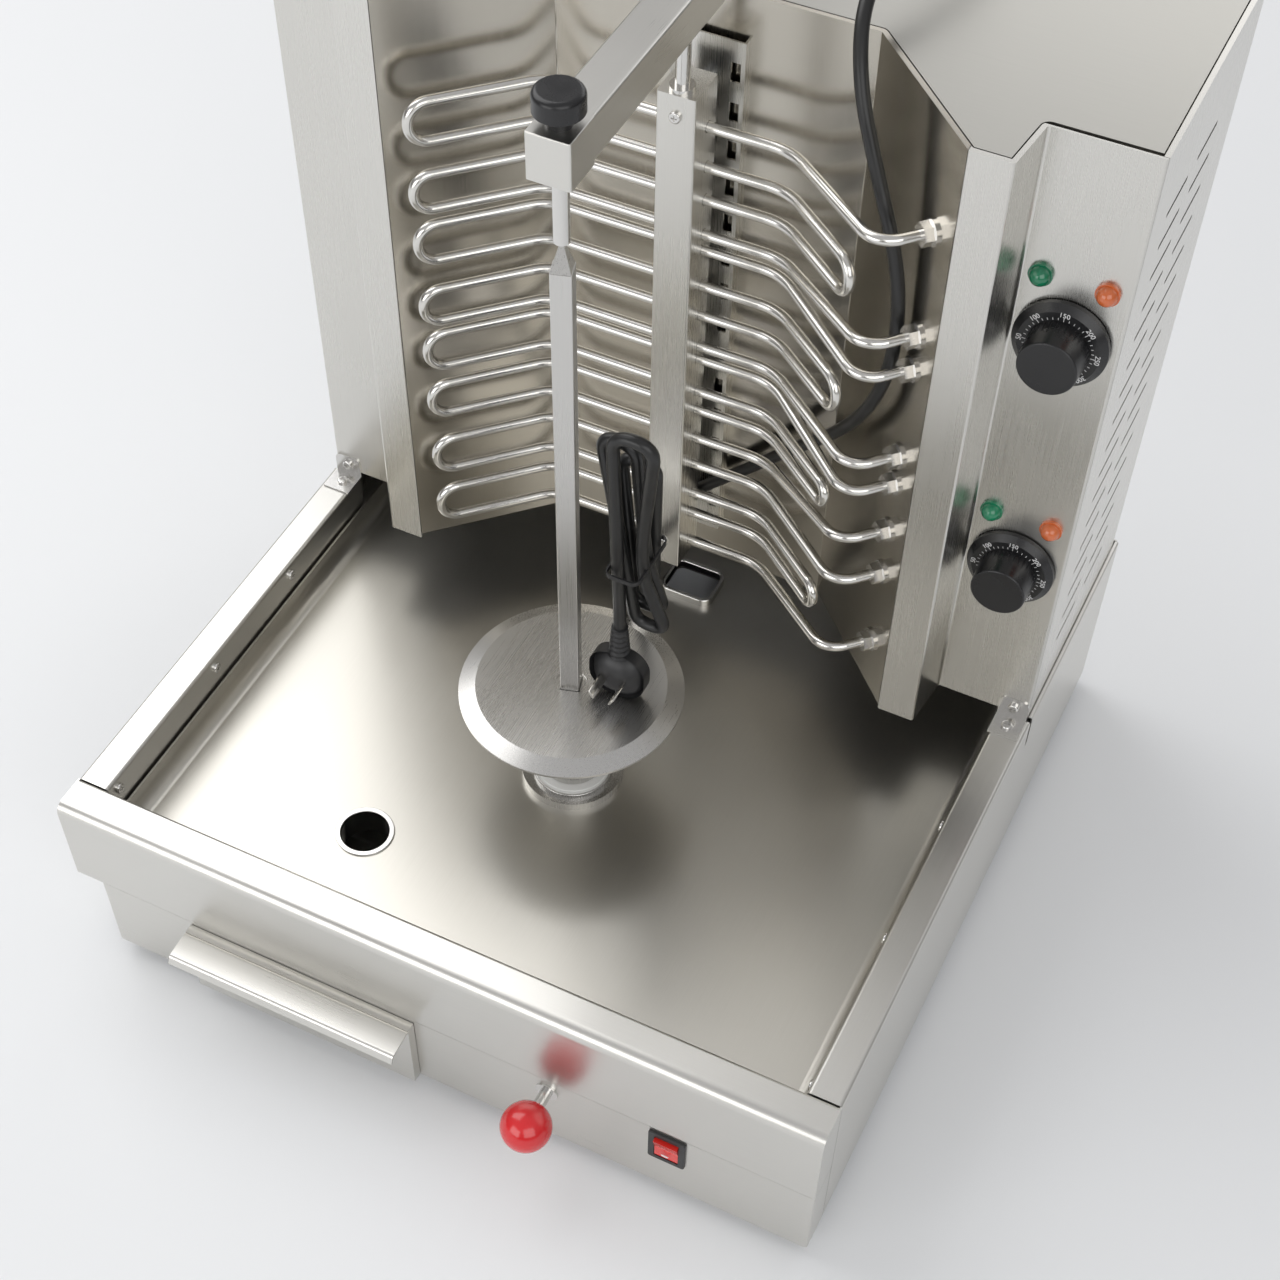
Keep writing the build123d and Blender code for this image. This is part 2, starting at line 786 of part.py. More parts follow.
def lamps(x, name):
    with BuildPart() as lamp:
        for z in dial_heights:
            height = z + lamp_rise
            bar((x, panel_y, height), (0, -1, 0), lamp_radius, 2.0)
            with Locations((x, panel_y - 2.0, height)):
                Sphere(lamp_radius * 0.86)
            bar((x, panel_y + lamp_radius, height), (0, -1, 0), lamp_radius * 2, lamp_radius,
                mode=Mode.SUBTRACT)
            bar((x, panel_y, height), (0, 1, 0), lamp_radius - 1.5, 14.0)
    save(lamp, name)


# Mains switch: a framed body behind the panel and a rocker
rocker_width = switch_width - 9.0
rocker_height = switch_height - 9.0
rocker_pivot_y = front_face + 3.0
axle_radius = 1.5
axle_half = rocker_width / 2 + 1.6


def mains_switch():
    with BuildPart() as body:
        half_w = switch_width / 2
        half_h = switch_height / 2
        block(switch_x - half_w, switch_x + half_w, front_face - 2.0, front_face, switch_z - half_h,
              switch_z + half_h)
        fillet(body.edges().filter_by(Axis.Y), 2.0)
        fillet(body.faces().sort_by(Axis.Y)[0].edges(), 0.7)
        inner_w = switch_hole_width / 2 - 0.2
        inner_h = switch_hole_height / 2 - 0.2
        block(switch_x - inner_w, switch_x + inner_w, front_face, front_face + 20.0, switch_z - inner_h,
              switch_z + inner_h)
        pocket_w = rocker_width / 2 + 0.3
        pocket_h = rocker_height / 2 + 0.6
        block(switch_x - pocket_w, switch_x + pocket_w, front_face - 3, front_face + 12.0,
              switch_z - pocket_h, switch_z + pocket_h, mode=Mode.SUBTRACT)
        bar((switch_x - axle_half - 0.2, rocker_pivot_y, switch_z), (1, 0, 0), axle_radius + run_gap,
            2 * axle_half + 0.4, mode=Mode.SUBTRACT)
    save(body, "switch_body")
    with BuildPart() as rocker:
        half_h = rocker_height / 2
        with BuildSketch(Plane.YZ.offset(switch_x - rocker_width / 2)):
            with BuildLine():
                Polyline((-6.0, -half_h + 0.6), (-4.6, 0), (-6.0, half_h - 0.6), (2.5, half_h - 1.8),
                         (6.0, 0), (2.5, -half_h + 1.8), close=True)
            make_face()
        extrude(amount=rocker_width)
        bar((switch_x - axle_half, 0, 0), (1, 0, 0), axle_radius, 2 * axle_half)
    turned = Rot(X=rocker_tilt) * rocker.part
    with BuildPart() as placed:
        add(Pos(0, rocker_pivot_y, switch_z) * turned)
    save(placed, "switch_rocker")


# Top arm, its post, its clamp on the roof and the lift-out pin
arm_low = cabinet_top
arm_top = arm_low + arm_height
arm_front = seam_y + arm_front_set
block_rear = arm_front + arm_block
arm_rear = seam_y + arm_rear_set


def support_arm():
    half = arm_width / 2
    with BuildPart() as arm:
        block(-half, half, block_rear, arm_rear, arm_low, arm_top)
        fillet(arm.edges().filter_by(Axis.Y), 2.0)
        inner = half - arm_wall
        block(-inner, inner, block_rear - 1, arm_rear - arm_wall, arm_low + arm_wall, arm_top - arm_wall,
              mode=Mode.SUBTRACT)
    save(arm, "support_arm")
    with BuildPart() as head:
        block(-half - 0.5, half + 0.5, arm_front, block_rear, arm_low - 0.5, arm_top + 0.5)
        fillet(head.edges().filter_by(Axis.Z), 1.2)
        fillet(head.faces().sort_by(Axis.Z)[-1].edges(), 0.6)
        bar((0, spit_y, arm_low - 2), (0, 0, 1), pin_radius + run_gap, arm_height + 6, mode=Mode.SUBTRACT)
    save(head, "arm_head")
    with BuildPart() as post:
        bar((0, seam_y + post_set, channel_top), (0, 0, 1), post_radius, arm_low - channel_top)
        bar((0, seam_y + post_set, channel_top), (0, 0, 1), post_radius + 3.0, 2.5)
    save(post, "arm_post")


clamp_length = 60.0
clamp_foot = 18.0
clamp_screw_places = [((side * (arm_width / 2 + 2.0 + clamp_foot / 2 + 0.3), arm_rear - 8.0 - along, arm_low + 2.0),
                       (0, 0, 1)) for side in (-1, 1) for along in (12.0, 48.0)]


def arm_clamp():
    with BuildPart() as clamp:
        half = arm_width / 2 + 0.3
        wall = 2.0
        end = arm_rear - 8.0
        start = end - clamp_length
        block(-half - wall - clamp_foot, half + wall + clamp_foot, start, end, arm_low, arm_low + wall)
        block(-half - wall, half + wall, start, end, arm_low, arm_top + part_gap + wall)
        fillet(clamp.edges().filter_by(Axis.Y).group_by(Axis.Z)[-1], 2.5)
        block(-half, half, start - 1, end + 1, arm_low - 1, arm_top + part_gap, mode=Mode.SUBTRACT)
        screw_holes(clamp_screw_places)
    save(clamp, "arm_clamp")


def top_pin():
    knob_low = arm_top + 0.5
    pin_low = spit_top - 2.0
    with BuildPart() as pin:
        bar((0, spit_y, pin_low), (0, 0, 1), pin_radius, knob_low + neck_height - pin_low)
        with Locations((0, spit_y, pin_low)):
            Cone(3.0, 1.2, 6.0, align=(Align.CENTER, Align.CENTER, Align.MIN), mode=Mode.SUBTRACT)
        chamfer(pin.faces().sort_by(Axis.Z)[0].outer_wire().edges(), 1.0)
    save(pin, "top_pin")
    with BuildPart() as knob:
        bar((0, spit_y, knob_low), (0, 0, 1), neck_radius, neck_height)
        bar((0, spit_y, knob_low + neck_height - 1.0), (0, 0, 1), cap_radius, cap_height + 1.0)
        fillet(knob.faces().sort_by(Axis.Z)[-1].edges(), 3.2)
        under = [e for e in knob.edges().filter_by(GeomType.CIRCLE)
                 if abs(e.radius - cap_radius) < 0.01 and e.center().Z < knob_low + neck_height]
        fillet(under, 0.8)
        bar((0, spit_y, knob_low - 1), (0, 0, 1), pin_radius + run_gap, neck_height + 1.0, mode=Mode.SUBTRACT)
    save(knob, "pull_knob")


# Spit: square rod with a point, disc, hub, drive shaft and gear, all turning together
collar_top = floor_height + collar_height
washer_top = collar_top + washer_height
hub_low = washer_top + 0.15
disc_low = disc_top - disc_thickness


def gear_outline(teeth, turn):
    """Adds a spur gear face with straight-flanked teeth, one tooth centred at the given angle."""
    pitch_radius = gear_module * teeth / 2
    tip = pitch_radius + gear_module * 0.9
    root = pitch_radius - gear_module * 1.2
    half_pitch = gear_module * math.pi / 4 - mesh_backlash / 2
    Circle(root + 0.05)
    for index in range(teeth):
        angle = turn + index * 360 / teeth
        with BuildLine(mode=Mode.PRIVATE) as tooth:
            Polyline((root - 0.4, -half_pitch * 1.5), (pitch_radius, -half_pitch), (tip, -half_pitch * 0.45),
                     (tip, half_pitch * 0.45), (pitch_radius, half_pitch), (root - 0.4, half_pitch * 1.5),
                     close=True)
        add(make_face(tooth.edges(), mode=Mode.PRIVATE).rotate(Axis.Z, angle))


centre_distance = gear_module * (gear_teeth + pinion_teeth) / 2 + 0.1
pinion_y = spit_y - centre_distance
mesh_angle = -90.0


def spit():
    with BuildPart() as rod:
        half = spit_square / 2
        with BuildSketch(Plane.XY.offset(hub_low + 6.0)):
            with Locations((0, spit_y)):
                Rectangle(spit_square, spit_square, rotation=spit_turn)
        extrude(amount=spit_top - spit_point - hub_low - 6.0)
        fillet(rod.edges().filter_by(Axis.Z), 0.8)
        with BuildSketch(Plane.XY.offset(spit_top - spit_point)):
            with Locations((0, spit_y)):
                Rectangle(spit_square - 0.6, spit_square - 0.6, rotation=spit_turn)
        with BuildSketch(Plane.XY.offset(spit_top)):
            with Locations((0, spit_y)):
                Rectangle(0.8, 0.8, rotation=spit_turn)
        loft()
    save(rod, "spit_rod")
    with BuildPart() as disc:
        with BuildSketch(Plane(origin=(0, spit_y, 0), x_dir=(1, 0, 0), z_dir=(0, -1, 0))):
            with BuildLine():
                Polyline((0, disc_low), (disc_radius - disc_bevel, disc_low), (disc_radius, disc_low - 2.5),
                         (disc_radius, disc_low - 1.0), (disc_radius - disc_bevel, disc_top), (0, disc_top),
                         close=True)
            make_face()
        revolve(axis=Axis((0, spit_y, 0), (0, 0, 1)))
        with BuildSketch(Plane.XY.offset(disc_low - 1)):
            with Locations((0, spit_y)):
                Rectangle(spit_square + 2 * part_gap, spit_square + 2 * part_gap, rotation=spit_turn)
        extrude(amount=disc_thickness + 2, mode=Mode.SUBTRACT)
        bar((0, spit_y, disc_top - 0.8), (0, 0, 1), spit_square * 0.85, 2, mode=Mode.SUBTRACT)
    save(disc, "spit_disc")
    with BuildPart() as hub:
        bar((0, spit_y, hub_low), (0, 0, 1), hub_radius, disc_low - hub_low)
        fillet(hub.faces().sort_by(Axis.Z)[0].edges(), 1.0)
        with BuildSketch(Plane.XY.offset(hub_low + 6.0)):
            with Locations((0, spit_y)):
                Rectangle(spit_square + 2 * part_gap, spit_square + 2 * part_gap, rotation=spit_turn)
        extrude(amount=disc_low - hub_low, mode=Mode.SUBTRACT)
        bar((0, spit_y, hub_low - 1), (0, 0, 1), drive_radius * 0.6, 5.0, mode=Mode.SUBTRACT)
    save(hub, "spit_hub")
    with BuildPart() as shaft:
        shaft_low = gear_low - 2.5
        bar((0, spit_y, shaft_low), (0, 0, 1), drive_radius, hub_low - shaft_low)
        bar((0, spit_y, hub_low - 1), (0, 0, 1), drive_radius * 0.6 - 0.05, 4.5)
        bar((0, spit_y, shaft_low), (0, 0, 1), drive_radius + 4.0, 2.0)
    save(shaft, "drive_shaft")
    with BuildPart() as gear:
        with BuildSketch(Plane(origin=(0, spit_y, gear_low))):
            gear_outline(gear_teeth, mesh_angle)
            Circle(drive_radius + run_gap, mode=Mode.SUBTRACT)
            with PolarLocations(24.0, 6):
                Circle(6.0, mode=Mode.SUBTRACT)
        extrude(amount=gear_height)
    save(gear, "driven_gear")


def bearing():
    with BuildPart() as collar:
        with BuildSketch(Plane.XY.offset(floor_height)):
            with Locations((0, spit_y)):
                Circle(collar_radius)
                Circle(housing_radius + 0.2, mode=Mode.SUBTRACT)
        extrude(amount=collar_height)
        with BuildSketch(Plane.XY.offset(floor_height + 2.5)):
            with Locations((0, spit_y)):
                Circle(collar_radius - 3.0)
                Circle(washer_radius + 1.5, mode=Mode.SUBTRACT)
        extrude(amount=collar_height, mode=Mode.SUBTRACT)
        fillet(collar.faces().sort_by(Axis.Z)[-1].edges(), 0.8)
    save(collar, "deck_collar")
    with BuildPart() as housing:
        bar((0, spit_y, housing_low), (0, 0, 1), housing_radius, collar_top - housing_low)
        bar((0, spit_y, deck_bottom - 4.0), (0, 0, 1), housing_flange, 4.0)
        bar((0, spit_y, housing_low - 1), (0, 0, 1), drive_radius + run_gap, collar_top - housing_low + 2,
            mode=Mode.SUBTRACT)
    save(housing, "bearing_housing")
    with BuildPart() as washer:
        with BuildSketch(Plane.XY.offset(collar_top)):
            with Locations((0, spit_y)):
                Circle(washer_radius)
                Circle(drive_radius + 0.4, mode=Mode.SUBTRACT)
        extrude(amount=washer_height)
        chamfer(washer.faces().sort_by(Axis.Z)[-1].edges(), 0.5)
    save(washer, "nylon_washer")


# Motor on a sliding plate, moved by the clutch lever
stand_left = -14.9
stand_right = 104.0
stand_front_set = 84.0
stand_rear_set = 196.0
plate_low = motor_plate_top - motor_plate_sheet
stand_flange = 9.0


def motor_stand():
    with BuildPart() as stand:
        front = seam_y + stand_front_set
        rear = seam_y + stand_rear_set
        floor_z = foot_height + sheet
        wall = 1.5
        for x, way in ((stand_left, 1), (stand_right, -1)):
            low = min(x, x + way * wall)
            high = max(x, x + way * wall)
            block(low, high, front, rear, floor_z, plate_low)
            low = min(x, x + way * stand_flange)
            high = max(x, x + way * stand_flange)
            block(low, high, front, rear, plate_low - wall, plate_low)
        block(stand_left, stand_right, front, rear, floor_z, floor_z + wall)
    save(stand, "motor_stand")


motor_x = 25.0


def motor():
    front = seam_y + motor_plate_front_set
    plate_rear = seam_y + 190.0
    with BuildPart() as plate:
        block(stand_left + 1.0, stand_right - 1.0, front, plate_rear, plate_low, motor_plate_top)
        block(lever_x - 9.0, lever_x + 9.0, front, front + motor_plate_sheet, lever_z - 10.0, plate_low)
        bar((pinion_x, pinion_y, plate_low - 1), (0, 0, 1), 5.0, 5, mode=Mode.SUBTRACT)
        bar((lever_x, front - 1, lever_z), (0, 1, 0), lever_radius * 0.75 + 0.05, 4, mode=Mode.SUBTRACT)
    save(plate, "motor_plate")
    with BuildPart() as body:
        half_x = 30.0
        block(motor_x - half_x, motor_x + half_x, pinion_y - 24.0, pinion_y + 28.0, plate_low - 24.0,
              plate_low)
        fillet(body.edges().filter_by(Axis.Z), 6.0)
        bar((motor_x, pinion_y + 2.0, foot_height + 8.0), (0, 0, 1), 23.0,
            plate_low - 24.0 - foot_height - 8.0)
        bar((pinion_x, pinion_y, plate_low - 14.0), (0, 0, 1), 4.0 + run_gap, 16, mode=Mode.SUBTRACT)
    save(body, "gear_motor")
    with BuildPart() as pinion:
        with BuildSketch(Plane(origin=(pinion_x, pinion_y, gear_low))):
            gear_outline(pinion_teeth, mesh_angle + 180 + 180 / pinion_teeth)
        extrude(amount=gear_height)
        bar((pinion_x, pinion_y, plate_low - 13.5), (0, 0, 1), 4.0, gear_low - plate_low + 13.5)
    save(pinion, "motor_pinion")


def lever():
    front = front_face - ball_reach
    plate_front = seam_y + motor_plate_front_set
    with BuildPart() as rod:
        bar((lever_x, front + 4.0, lever_z), (0, 1, 0), lever_radius, plate_front - front - 4.0)
        bar((lever_x, plate_front, lever_z), (0, 1, 0), lever_radius * 0.75, motor_plate_sheet + 4.0)
        bar((lever_x, plate_front - 5.0, lever_z), (0, 1, 0), 7.0, 5.0)
    save(rod, "lever_rod")
    with BuildPart() as ball:
        with Locations((lever_x, front, lever_z)):
            Sphere(ball_radius)
        bar((lever_x, front + ball_radius - 1.2, lever_z), (0, 1, 0), 7.0, 3.0, mode=Mode.SUBTRACT)
        bar((lever_x, front + 4.0, lever_z), (0, 1, 0), lever_radius + run_gap, ball_radius,
            mode=Mode.SUBTRACT)
    save(ball, "lever_ball")
    with BuildPart() as bush:
        bar((lever_x, front_face - 1.5, lever_z), (0, 1, 0), bush_radius + 1.8, 1.5)
        bar((lever_x, front_face, lever_z), (0, 1, 0), bush_radius, 8.0)
        bar((lever_x, front_face - 3, lever_z), (0, 1, 0), lever_radius + run_gap, 14, mode=Mode.SUBTRACT)
    save(bush, "lever_bush")


# Grease drawer: front with a handle lip, tray, and the runners on the base plate
drawer_face = front_face - drawer_proud
tray_left = drawer_left + 8.5
tray_right = drawer_right - 8.5
tray_low = foot_height + sheet + 2.6
tray_top = drawer_top - 5.0
tray_front = drawer_face + sheet


def drawer():
    mid = sheet / 2
    with BuildPart() as front:
        block(drawer_left, drawer_right, drawer_face, front_face - part_gap, drawer_low, drawer_top)
        block(drawer_left + sheet, drawer_right - sheet, drawer_face + sheet, front_face + 1,
              drawer_low + sheet, drawer_top - sheet, mode=Mode.SUBTRACT)
        with BuildSketch(Plane.YZ.offset(drawer_left)):
            folded([(drawer_face + mid, drawer_top - 8.0), (drawer_face + mid, drawer_top - mid),
                    (drawer_face - lip_reach + 3.0, drawer_top - mid - 1.5),
                    (drawer_face - lip_reach + mid, drawer_top - lip_drop - 1.5)], [2.5, 3.0], sheet)
        extrude(amount=drawer_right - drawer_left)
    save(front, "drawer_front")
    with BuildPart() as tray:
        block(tray_left, tray_right, tray_front, tray_front + tray_length, tray_low, tray_top)
        fillet(tray.faces().sort_by(Axis.Z)[0].edges(), 3.0)
        offset(amount=-tray_sheet, openings=tray.faces().sort_by(Axis.Z)[-1])
    save(tray, "drawer_tray")
    with BuildPart() as runners:
        floor_z = foot_height + sheet
        start = seam_y + 4.0
        end = seam_y + tray_length
        for x, way in ((tray_left - 1.8, 1), (tray_right + 1.8, -1)):
            low = min(x, x - way * 1.5)
            high = max(x, x - way * 1.5)
            block(low, high, start, end, floor_z, floor_z + 22.0)
            low = min(x, x + way * 12.0)
            high = max(x, x + way * 12.0)
            block(low, high, start, end, floor_z, tray_low - part_gap)
    save(runners, "drawer_runners")


# Terminal block inside the cabinet, the rear cord gland and the mains lead
gland_end = cabinet_rear + gland_length


def wiring():
    with BuildPart() as terminals:
        block(40.0, 100.0, cabinet_rear - sheet - 20.0, cabinet_rear - sheet, 480.0, 502.0)
        for index in range(5):
            bar((46.0 + index * 12.0, cabinet_rear - sheet - 21.0, 491.0), (0, 1, 0), 3.2, 8.0,
                mode=Mode.SUBTRACT)
    save(terminals, "terminal_block")
    with BuildPart() as gland:
        with BuildSketch(upright(cabinet_rear)):
            with Locations((cord_x, cord_z)):
                RegularPolygon(11.0, 6, major_radius=False)
        extrude(amount=-6.0)
        with BuildSketch(upright(cabinet_rear + 6.0)):
            with Locations((cord_x, cord_z)):
                Circle(9.5)
        extrude(amount=-(gland_length - 6.0), taper=9)
        bar((cord_x, cabinet_rear - sheet - 6.0, cord_z), (0, 1, 0), cord_radius + 4.0, 6.0 + sheet)
    save(gland, "cord_gland")


cord_route = [(112, 523, 470), (112, 545, 470), (112, 565, 490), (111, 576, 530), (109, 572, 578),
              (105, 545, 620), (100, 497, 639), (95, 445, 632), (89, 392, 618), (86, 348, 609), (98, 320, 578),
              (117, 312, 532), (136, 303, 492), (143, 300, 456), (142, 299, 418), (132, 303, 382),
              (110, 317, 343), (77, 335, 301), (48, 343, 266), (16, 344.6, 234), (-9, 344.6, 210),
              (-24, 338, 188), (-23, 315, 177), (-12, 288, 187), (4, 263, 205), (20, 243, 228),
              (34, 226, 253), (40.6, 209.5, 283), (40.6, 209.5, 302)]


def turn_at(a, b, c):
    """The turn of a route at its middle point, in degrees."""
    return (b - a).get_angle(c - b)


def route_radii(points, share=0.45):
    """Arcs as large as the runs beside each point allow."""
    radii = []
    for a, b, c in zip(points, points[1:], points[2:]):
        shorter = min((b - a).length, (c - b).length)
        radii.append(share * shorter / math.tan(math.radians(turn_at(a, b, c) / 2)))
    return radii


def mains_cord():
    points = [Vector(x, seam_y + y, z) for x, y, z in cord_route]
    radii = route_radii(points)
    print("cord radii", [round(r) for r in radii])
    print("cord turns", [round(turn_at(a, b, c)) for a, b, c in zip(points, points[1:], points[2:])])
    print("cord runs", [round((b - a).length) for a, b in zip(points, points[1:])])
    cord = rounded_tube(points, radii, cord_radius)
    print("cord length", round(cord.part.volume / (math.pi * cord_radius ** 2), 1))
    save(cord, "mains_cord")


# Hank: loops beside each other, drawn in at the waist, each loop with its own reach and lean.
# Each row holds the top lobe's centre shift, half width, height and depth shift, then the bottom
# lobe's centre shift, half width and height.
hank_loops = ((-2.0, 11.0, 72.0, 3.0, 4.0, 11.0, -50.0), (-9.0, 11.0, 94.0, 0.0, 10.0, 10.5, -57.0),
              (6.0, 13.0, 110.0, -3.0, 0.0, 0.0, 0.0))
hank_fan = 7.5
hank_lead = 12.5
plug_low = disc_top + 0.5
plug_top = plug_low + plug_height
strain_length = 26.0


def hank_points():
    """The hank's route, from where the free stretch ends to the plug's strain relief."""
    y = seam_y + hank_set
    points = [Vector(hank_x + hank_neck, y + hank_lead, hank_waist - 14.0),
              Vector(hank_x + hank_neck, y + hank_lead, hank_waist + 2.0)]
    for index, (top_x, top_half, top_z, top_y, low_x, low_half, low_z) in enumerate(hank_loops):
        points.append(Vector(hank_x + top_x + top_half, y + top_y, hank_waist + top_z))
        points.append(Vector(hank_x + top_x - top_half, y + top_y, hank_waist + top_z))
        if index < len(hank_loops) - 1:
            points.append(Vector(hank_x - hank_neck, y, hank_waist))
            points.append(Vector(hank_x + low_x - low_half, y + hank_fan, hank_waist + low_z))
            points.append(Vector(hank_x + low_x + low_half, y + hank_fan, hank_waist + low_z))
            points.append(Vector(hank_x + hank_neck, y, hank_waist))
        y -= hank_pitch
    points.append(Vector(hank_x - hank_neck, y + hank_pitch, hank_waist))
    points.append(Vector(plug_x, seam_y + plug_set, plug_top + strain_length + 11.0))
    points.append(Vector(plug_x, seam_y + plug_set, plug_top + strain_length - 4.0))
    return points


def cord_hank():
    points = hank_points()
    radii = route_radii(points, 0.46)
    radii = [min(r, 60.0) for r in radii]
    print("hank radii", [round(r, 1) for r in radii])
    hank = rounded_tube(points, radii, cord_radius)
    length = hank.part.volume / (math.pi * cord_radius ** 2)
    print("hank length", round(length, 1))
    with BuildLine() as path:
        FilletPolyline(*points, radius=radii)
    steps = 700
    wire = path.wires()[0]
    samples = [wire @ (i / steps) for i in range(steps + 1)]
    skip = int(steps * cord_radius * 4.5 / wire.length)
    least = min((samples[i] - samples[j]).length
                for i in range(steps + 1) for j in range(i + skip, steps + 1))
    print("hank least gap to itself", round(least - 2 * cord_radius, 2))
    save(hank, "cord_hank")


def cord_tie():
    with BuildPart() as tie:
        y_mid = seam_y + hank_set + hank_lead / 2 - hank_pitch
        wide = 2 * (hank_neck + cord_radius + 1.5)
        deep = hank_lead + 2 * hank_pitch + 2 * (cord_radius + 1.5)
        with BuildSketch(Plane.XY.offset(hank_waist - 1.5)):
            with Locations((hank_x, y_mid)):
                RectangleRounded(wide + 2.4, deep + 2.4, cord_radius + 1.4)
                RectangleRounded(wide, deep, cord_radius - 1.0, mode=Mode.SUBTRACT)
        extrude(amount=3.0)
    save(tie, "cord_tie")


def mains_plug():
    y = seam_y + plug_set
    front = y - plug_thickness / 2
    centre_z = plug_low + plug_height / 2
    with BuildPart() as plug:
        with BuildSketch(upright(y + plug_thickness / 2)):
            with Locations((plug_x, centre_z)):
                RectangleRounded(plug_width, plug_height, plug_width * 0.42)
        extrude(amount=plug_thickness)
        fillet(plug.faces().sort_by(Axis.Y)[0].edges(), 3.0)
        fillet(plug.faces().sort_by(Axis.Y)[-1].edges(), 3.0)
        with Locations((plug_x, y, plug_top - 3.0)):
            Cone(7.4, 5.6, strain_length - 1.0, align=(Align.CENTER, Align.CENTER, Align.MIN))
        for lean, x in ((30.0, -6.85), (-30.0, 6.85)):
            with BuildSketch(upright(front + 1.0)):
                with Locations((plug_x + x, centre_z)):
                    Rectangle(1.6, 6.4, rotation=lean)
            extrude(amount=18.0)
    save(plug, "mains_plug")


front_apron()
lower_front_panel()
side_panel(-1, "left_side_panel")
side_panel(1, "right_side_panel")
base_rear_panel()
base_plate()
rubber_feet()
deck_pan()
drain_ring()
vent_frame()
corner_brackets()
niche_liner()
left_front_panel()
right_front_panel()
cabinet_sides()
cabinet_back()
roof_plate()
heating_elements()
terminal_nuts()
front_channel()
rear_channel()
channel_spacers()
thermostats()
dials()
lamps(dial_x - lamp_spread, "green_lamps")
lamps(dial_x + lamp_spread, "orange_lamps")
mains_switch()
support_arm()
arm_clamp()
top_pin()
spit()
bearing()
motor_stand()
motor()
lever()
drawer()
wiring()
mains_cord()
cord_hank()
cord_tie()
mains_plug()
short_screws = [(point, facing, 2 * sheet) for point, facing in bracket_screw_places]
long_screws = [(point, facing, screw_length)
               for point, facing in rail_screw_places + channel_screw_places + clamp_screw_places]
screws("sheet_screws", short_screws + long_screws)
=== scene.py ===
"""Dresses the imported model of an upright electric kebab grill: finishes, lead, plug, dial marks, studio."""
import logging
import math
from dataclasses import dataclass
from enum import Enum
from typing import Any

import bpy
from mathutils import Matrix, Vector

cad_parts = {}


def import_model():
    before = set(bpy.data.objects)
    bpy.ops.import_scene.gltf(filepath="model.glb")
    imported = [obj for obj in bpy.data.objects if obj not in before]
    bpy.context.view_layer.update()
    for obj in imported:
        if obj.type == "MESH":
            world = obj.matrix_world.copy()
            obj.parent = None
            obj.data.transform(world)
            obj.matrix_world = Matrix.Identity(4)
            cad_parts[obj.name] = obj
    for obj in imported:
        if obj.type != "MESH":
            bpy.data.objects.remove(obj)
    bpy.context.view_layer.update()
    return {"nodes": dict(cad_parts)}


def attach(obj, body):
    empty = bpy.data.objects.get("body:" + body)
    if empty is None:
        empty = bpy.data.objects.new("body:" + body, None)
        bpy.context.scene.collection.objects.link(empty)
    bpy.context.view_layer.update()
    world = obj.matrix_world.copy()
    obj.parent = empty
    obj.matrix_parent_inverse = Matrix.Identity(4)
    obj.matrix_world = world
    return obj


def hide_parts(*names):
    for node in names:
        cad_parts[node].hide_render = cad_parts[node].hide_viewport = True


logging.basicConfig(level=logging.INFO, format="%(message)s")
log = logging.getLogger("grill")

Point = tuple[float, float, float]
Colour = tuple[float, float, float]
PHOTO_SIDE: float = 1280.0
SEAM_Y: float = -0.21525


class Brush(Enum):
    """The way the lines of a brushed sheet run, as the noise scale along each axis."""

    ACROSS = (16.0, 2400.0, 2400.0)
    DEEP = (2400.0, 16.0, 2400.0)
    UP = (2200.0, 2200.0, 12.0)
    ROUND = (600.0, 600.0, 600.0)


# Node groups


def new_group(name: str, inputs: dict[str, tuple[str, Any]], outputs: dict[str, str]) -> tuple[Any, Any, Any]:
    """Makes an empty shader group with named sockets.

    Args:
        name: The group's name.
        inputs: Socket name to its type and first value.
        outputs: Socket name to its type.

    Returns:
        The group, its input node and its output node.
    """
    tree = bpy.data.node_groups.new(name, "ShaderNodeTree")
    for label, (kind, value) in inputs.items():
        socket = tree.interface.new_socket(label, in_out="INPUT", socket_type=kind)
        socket.default_value = value
    for label, kind in outputs.items():
        tree.interface.new_socket(label, in_out="OUTPUT", socket_type=kind)
    return tree, tree.nodes.new("NodeGroupInput"), tree.nodes.new("NodeGroupOutput")


def math_node(tree: Any, operation: str, a: Any, b: Any) -> Any:
    """Adds a Math node and links or sets its two inputs.

    Args:
        tree: The node tree.
        operation: The operation's name.
        a: A socket or a number.
        b: A socket or a number.

    Returns:
        The node's output socket.
    """
    node = tree.nodes.new("ShaderNodeMath")
    node.operation = operation
    for index, value in enumerate((a, b)):
        if isinstance(value, (int, float)):
            node.inputs[index].default_value = value
        else:
            tree.links.new(value, node.inputs[index])
    return node.outputs[0]


def noise(tree: Any, vector: Any, scale: float, detail: float) -> Any:
    """Adds a noise texture on a vector.

    Args:
        tree: The node tree.
        vector: The socket that gives the place.
        scale: The noise's scale.
        detail: The noise's detail.

    Returns:
        The noise's value socket.
    """
    node = tree.nodes.new("ShaderNodeTexNoise")
    node.inputs["Scale"].default_value = scale
    node.inputs["Detail"].default_value = detail
    tree.links.new(vector, node.inputs["Vector"])
    return node.outputs[0]


LINE_SHARE: float = 0.4
CLOUD_SHARE: float = 0.6
CLOUD_SCALE: float = 7.0
SCUFF_SCALE: float = 45.0
COAT_ROUGHNESS: float = 0.05


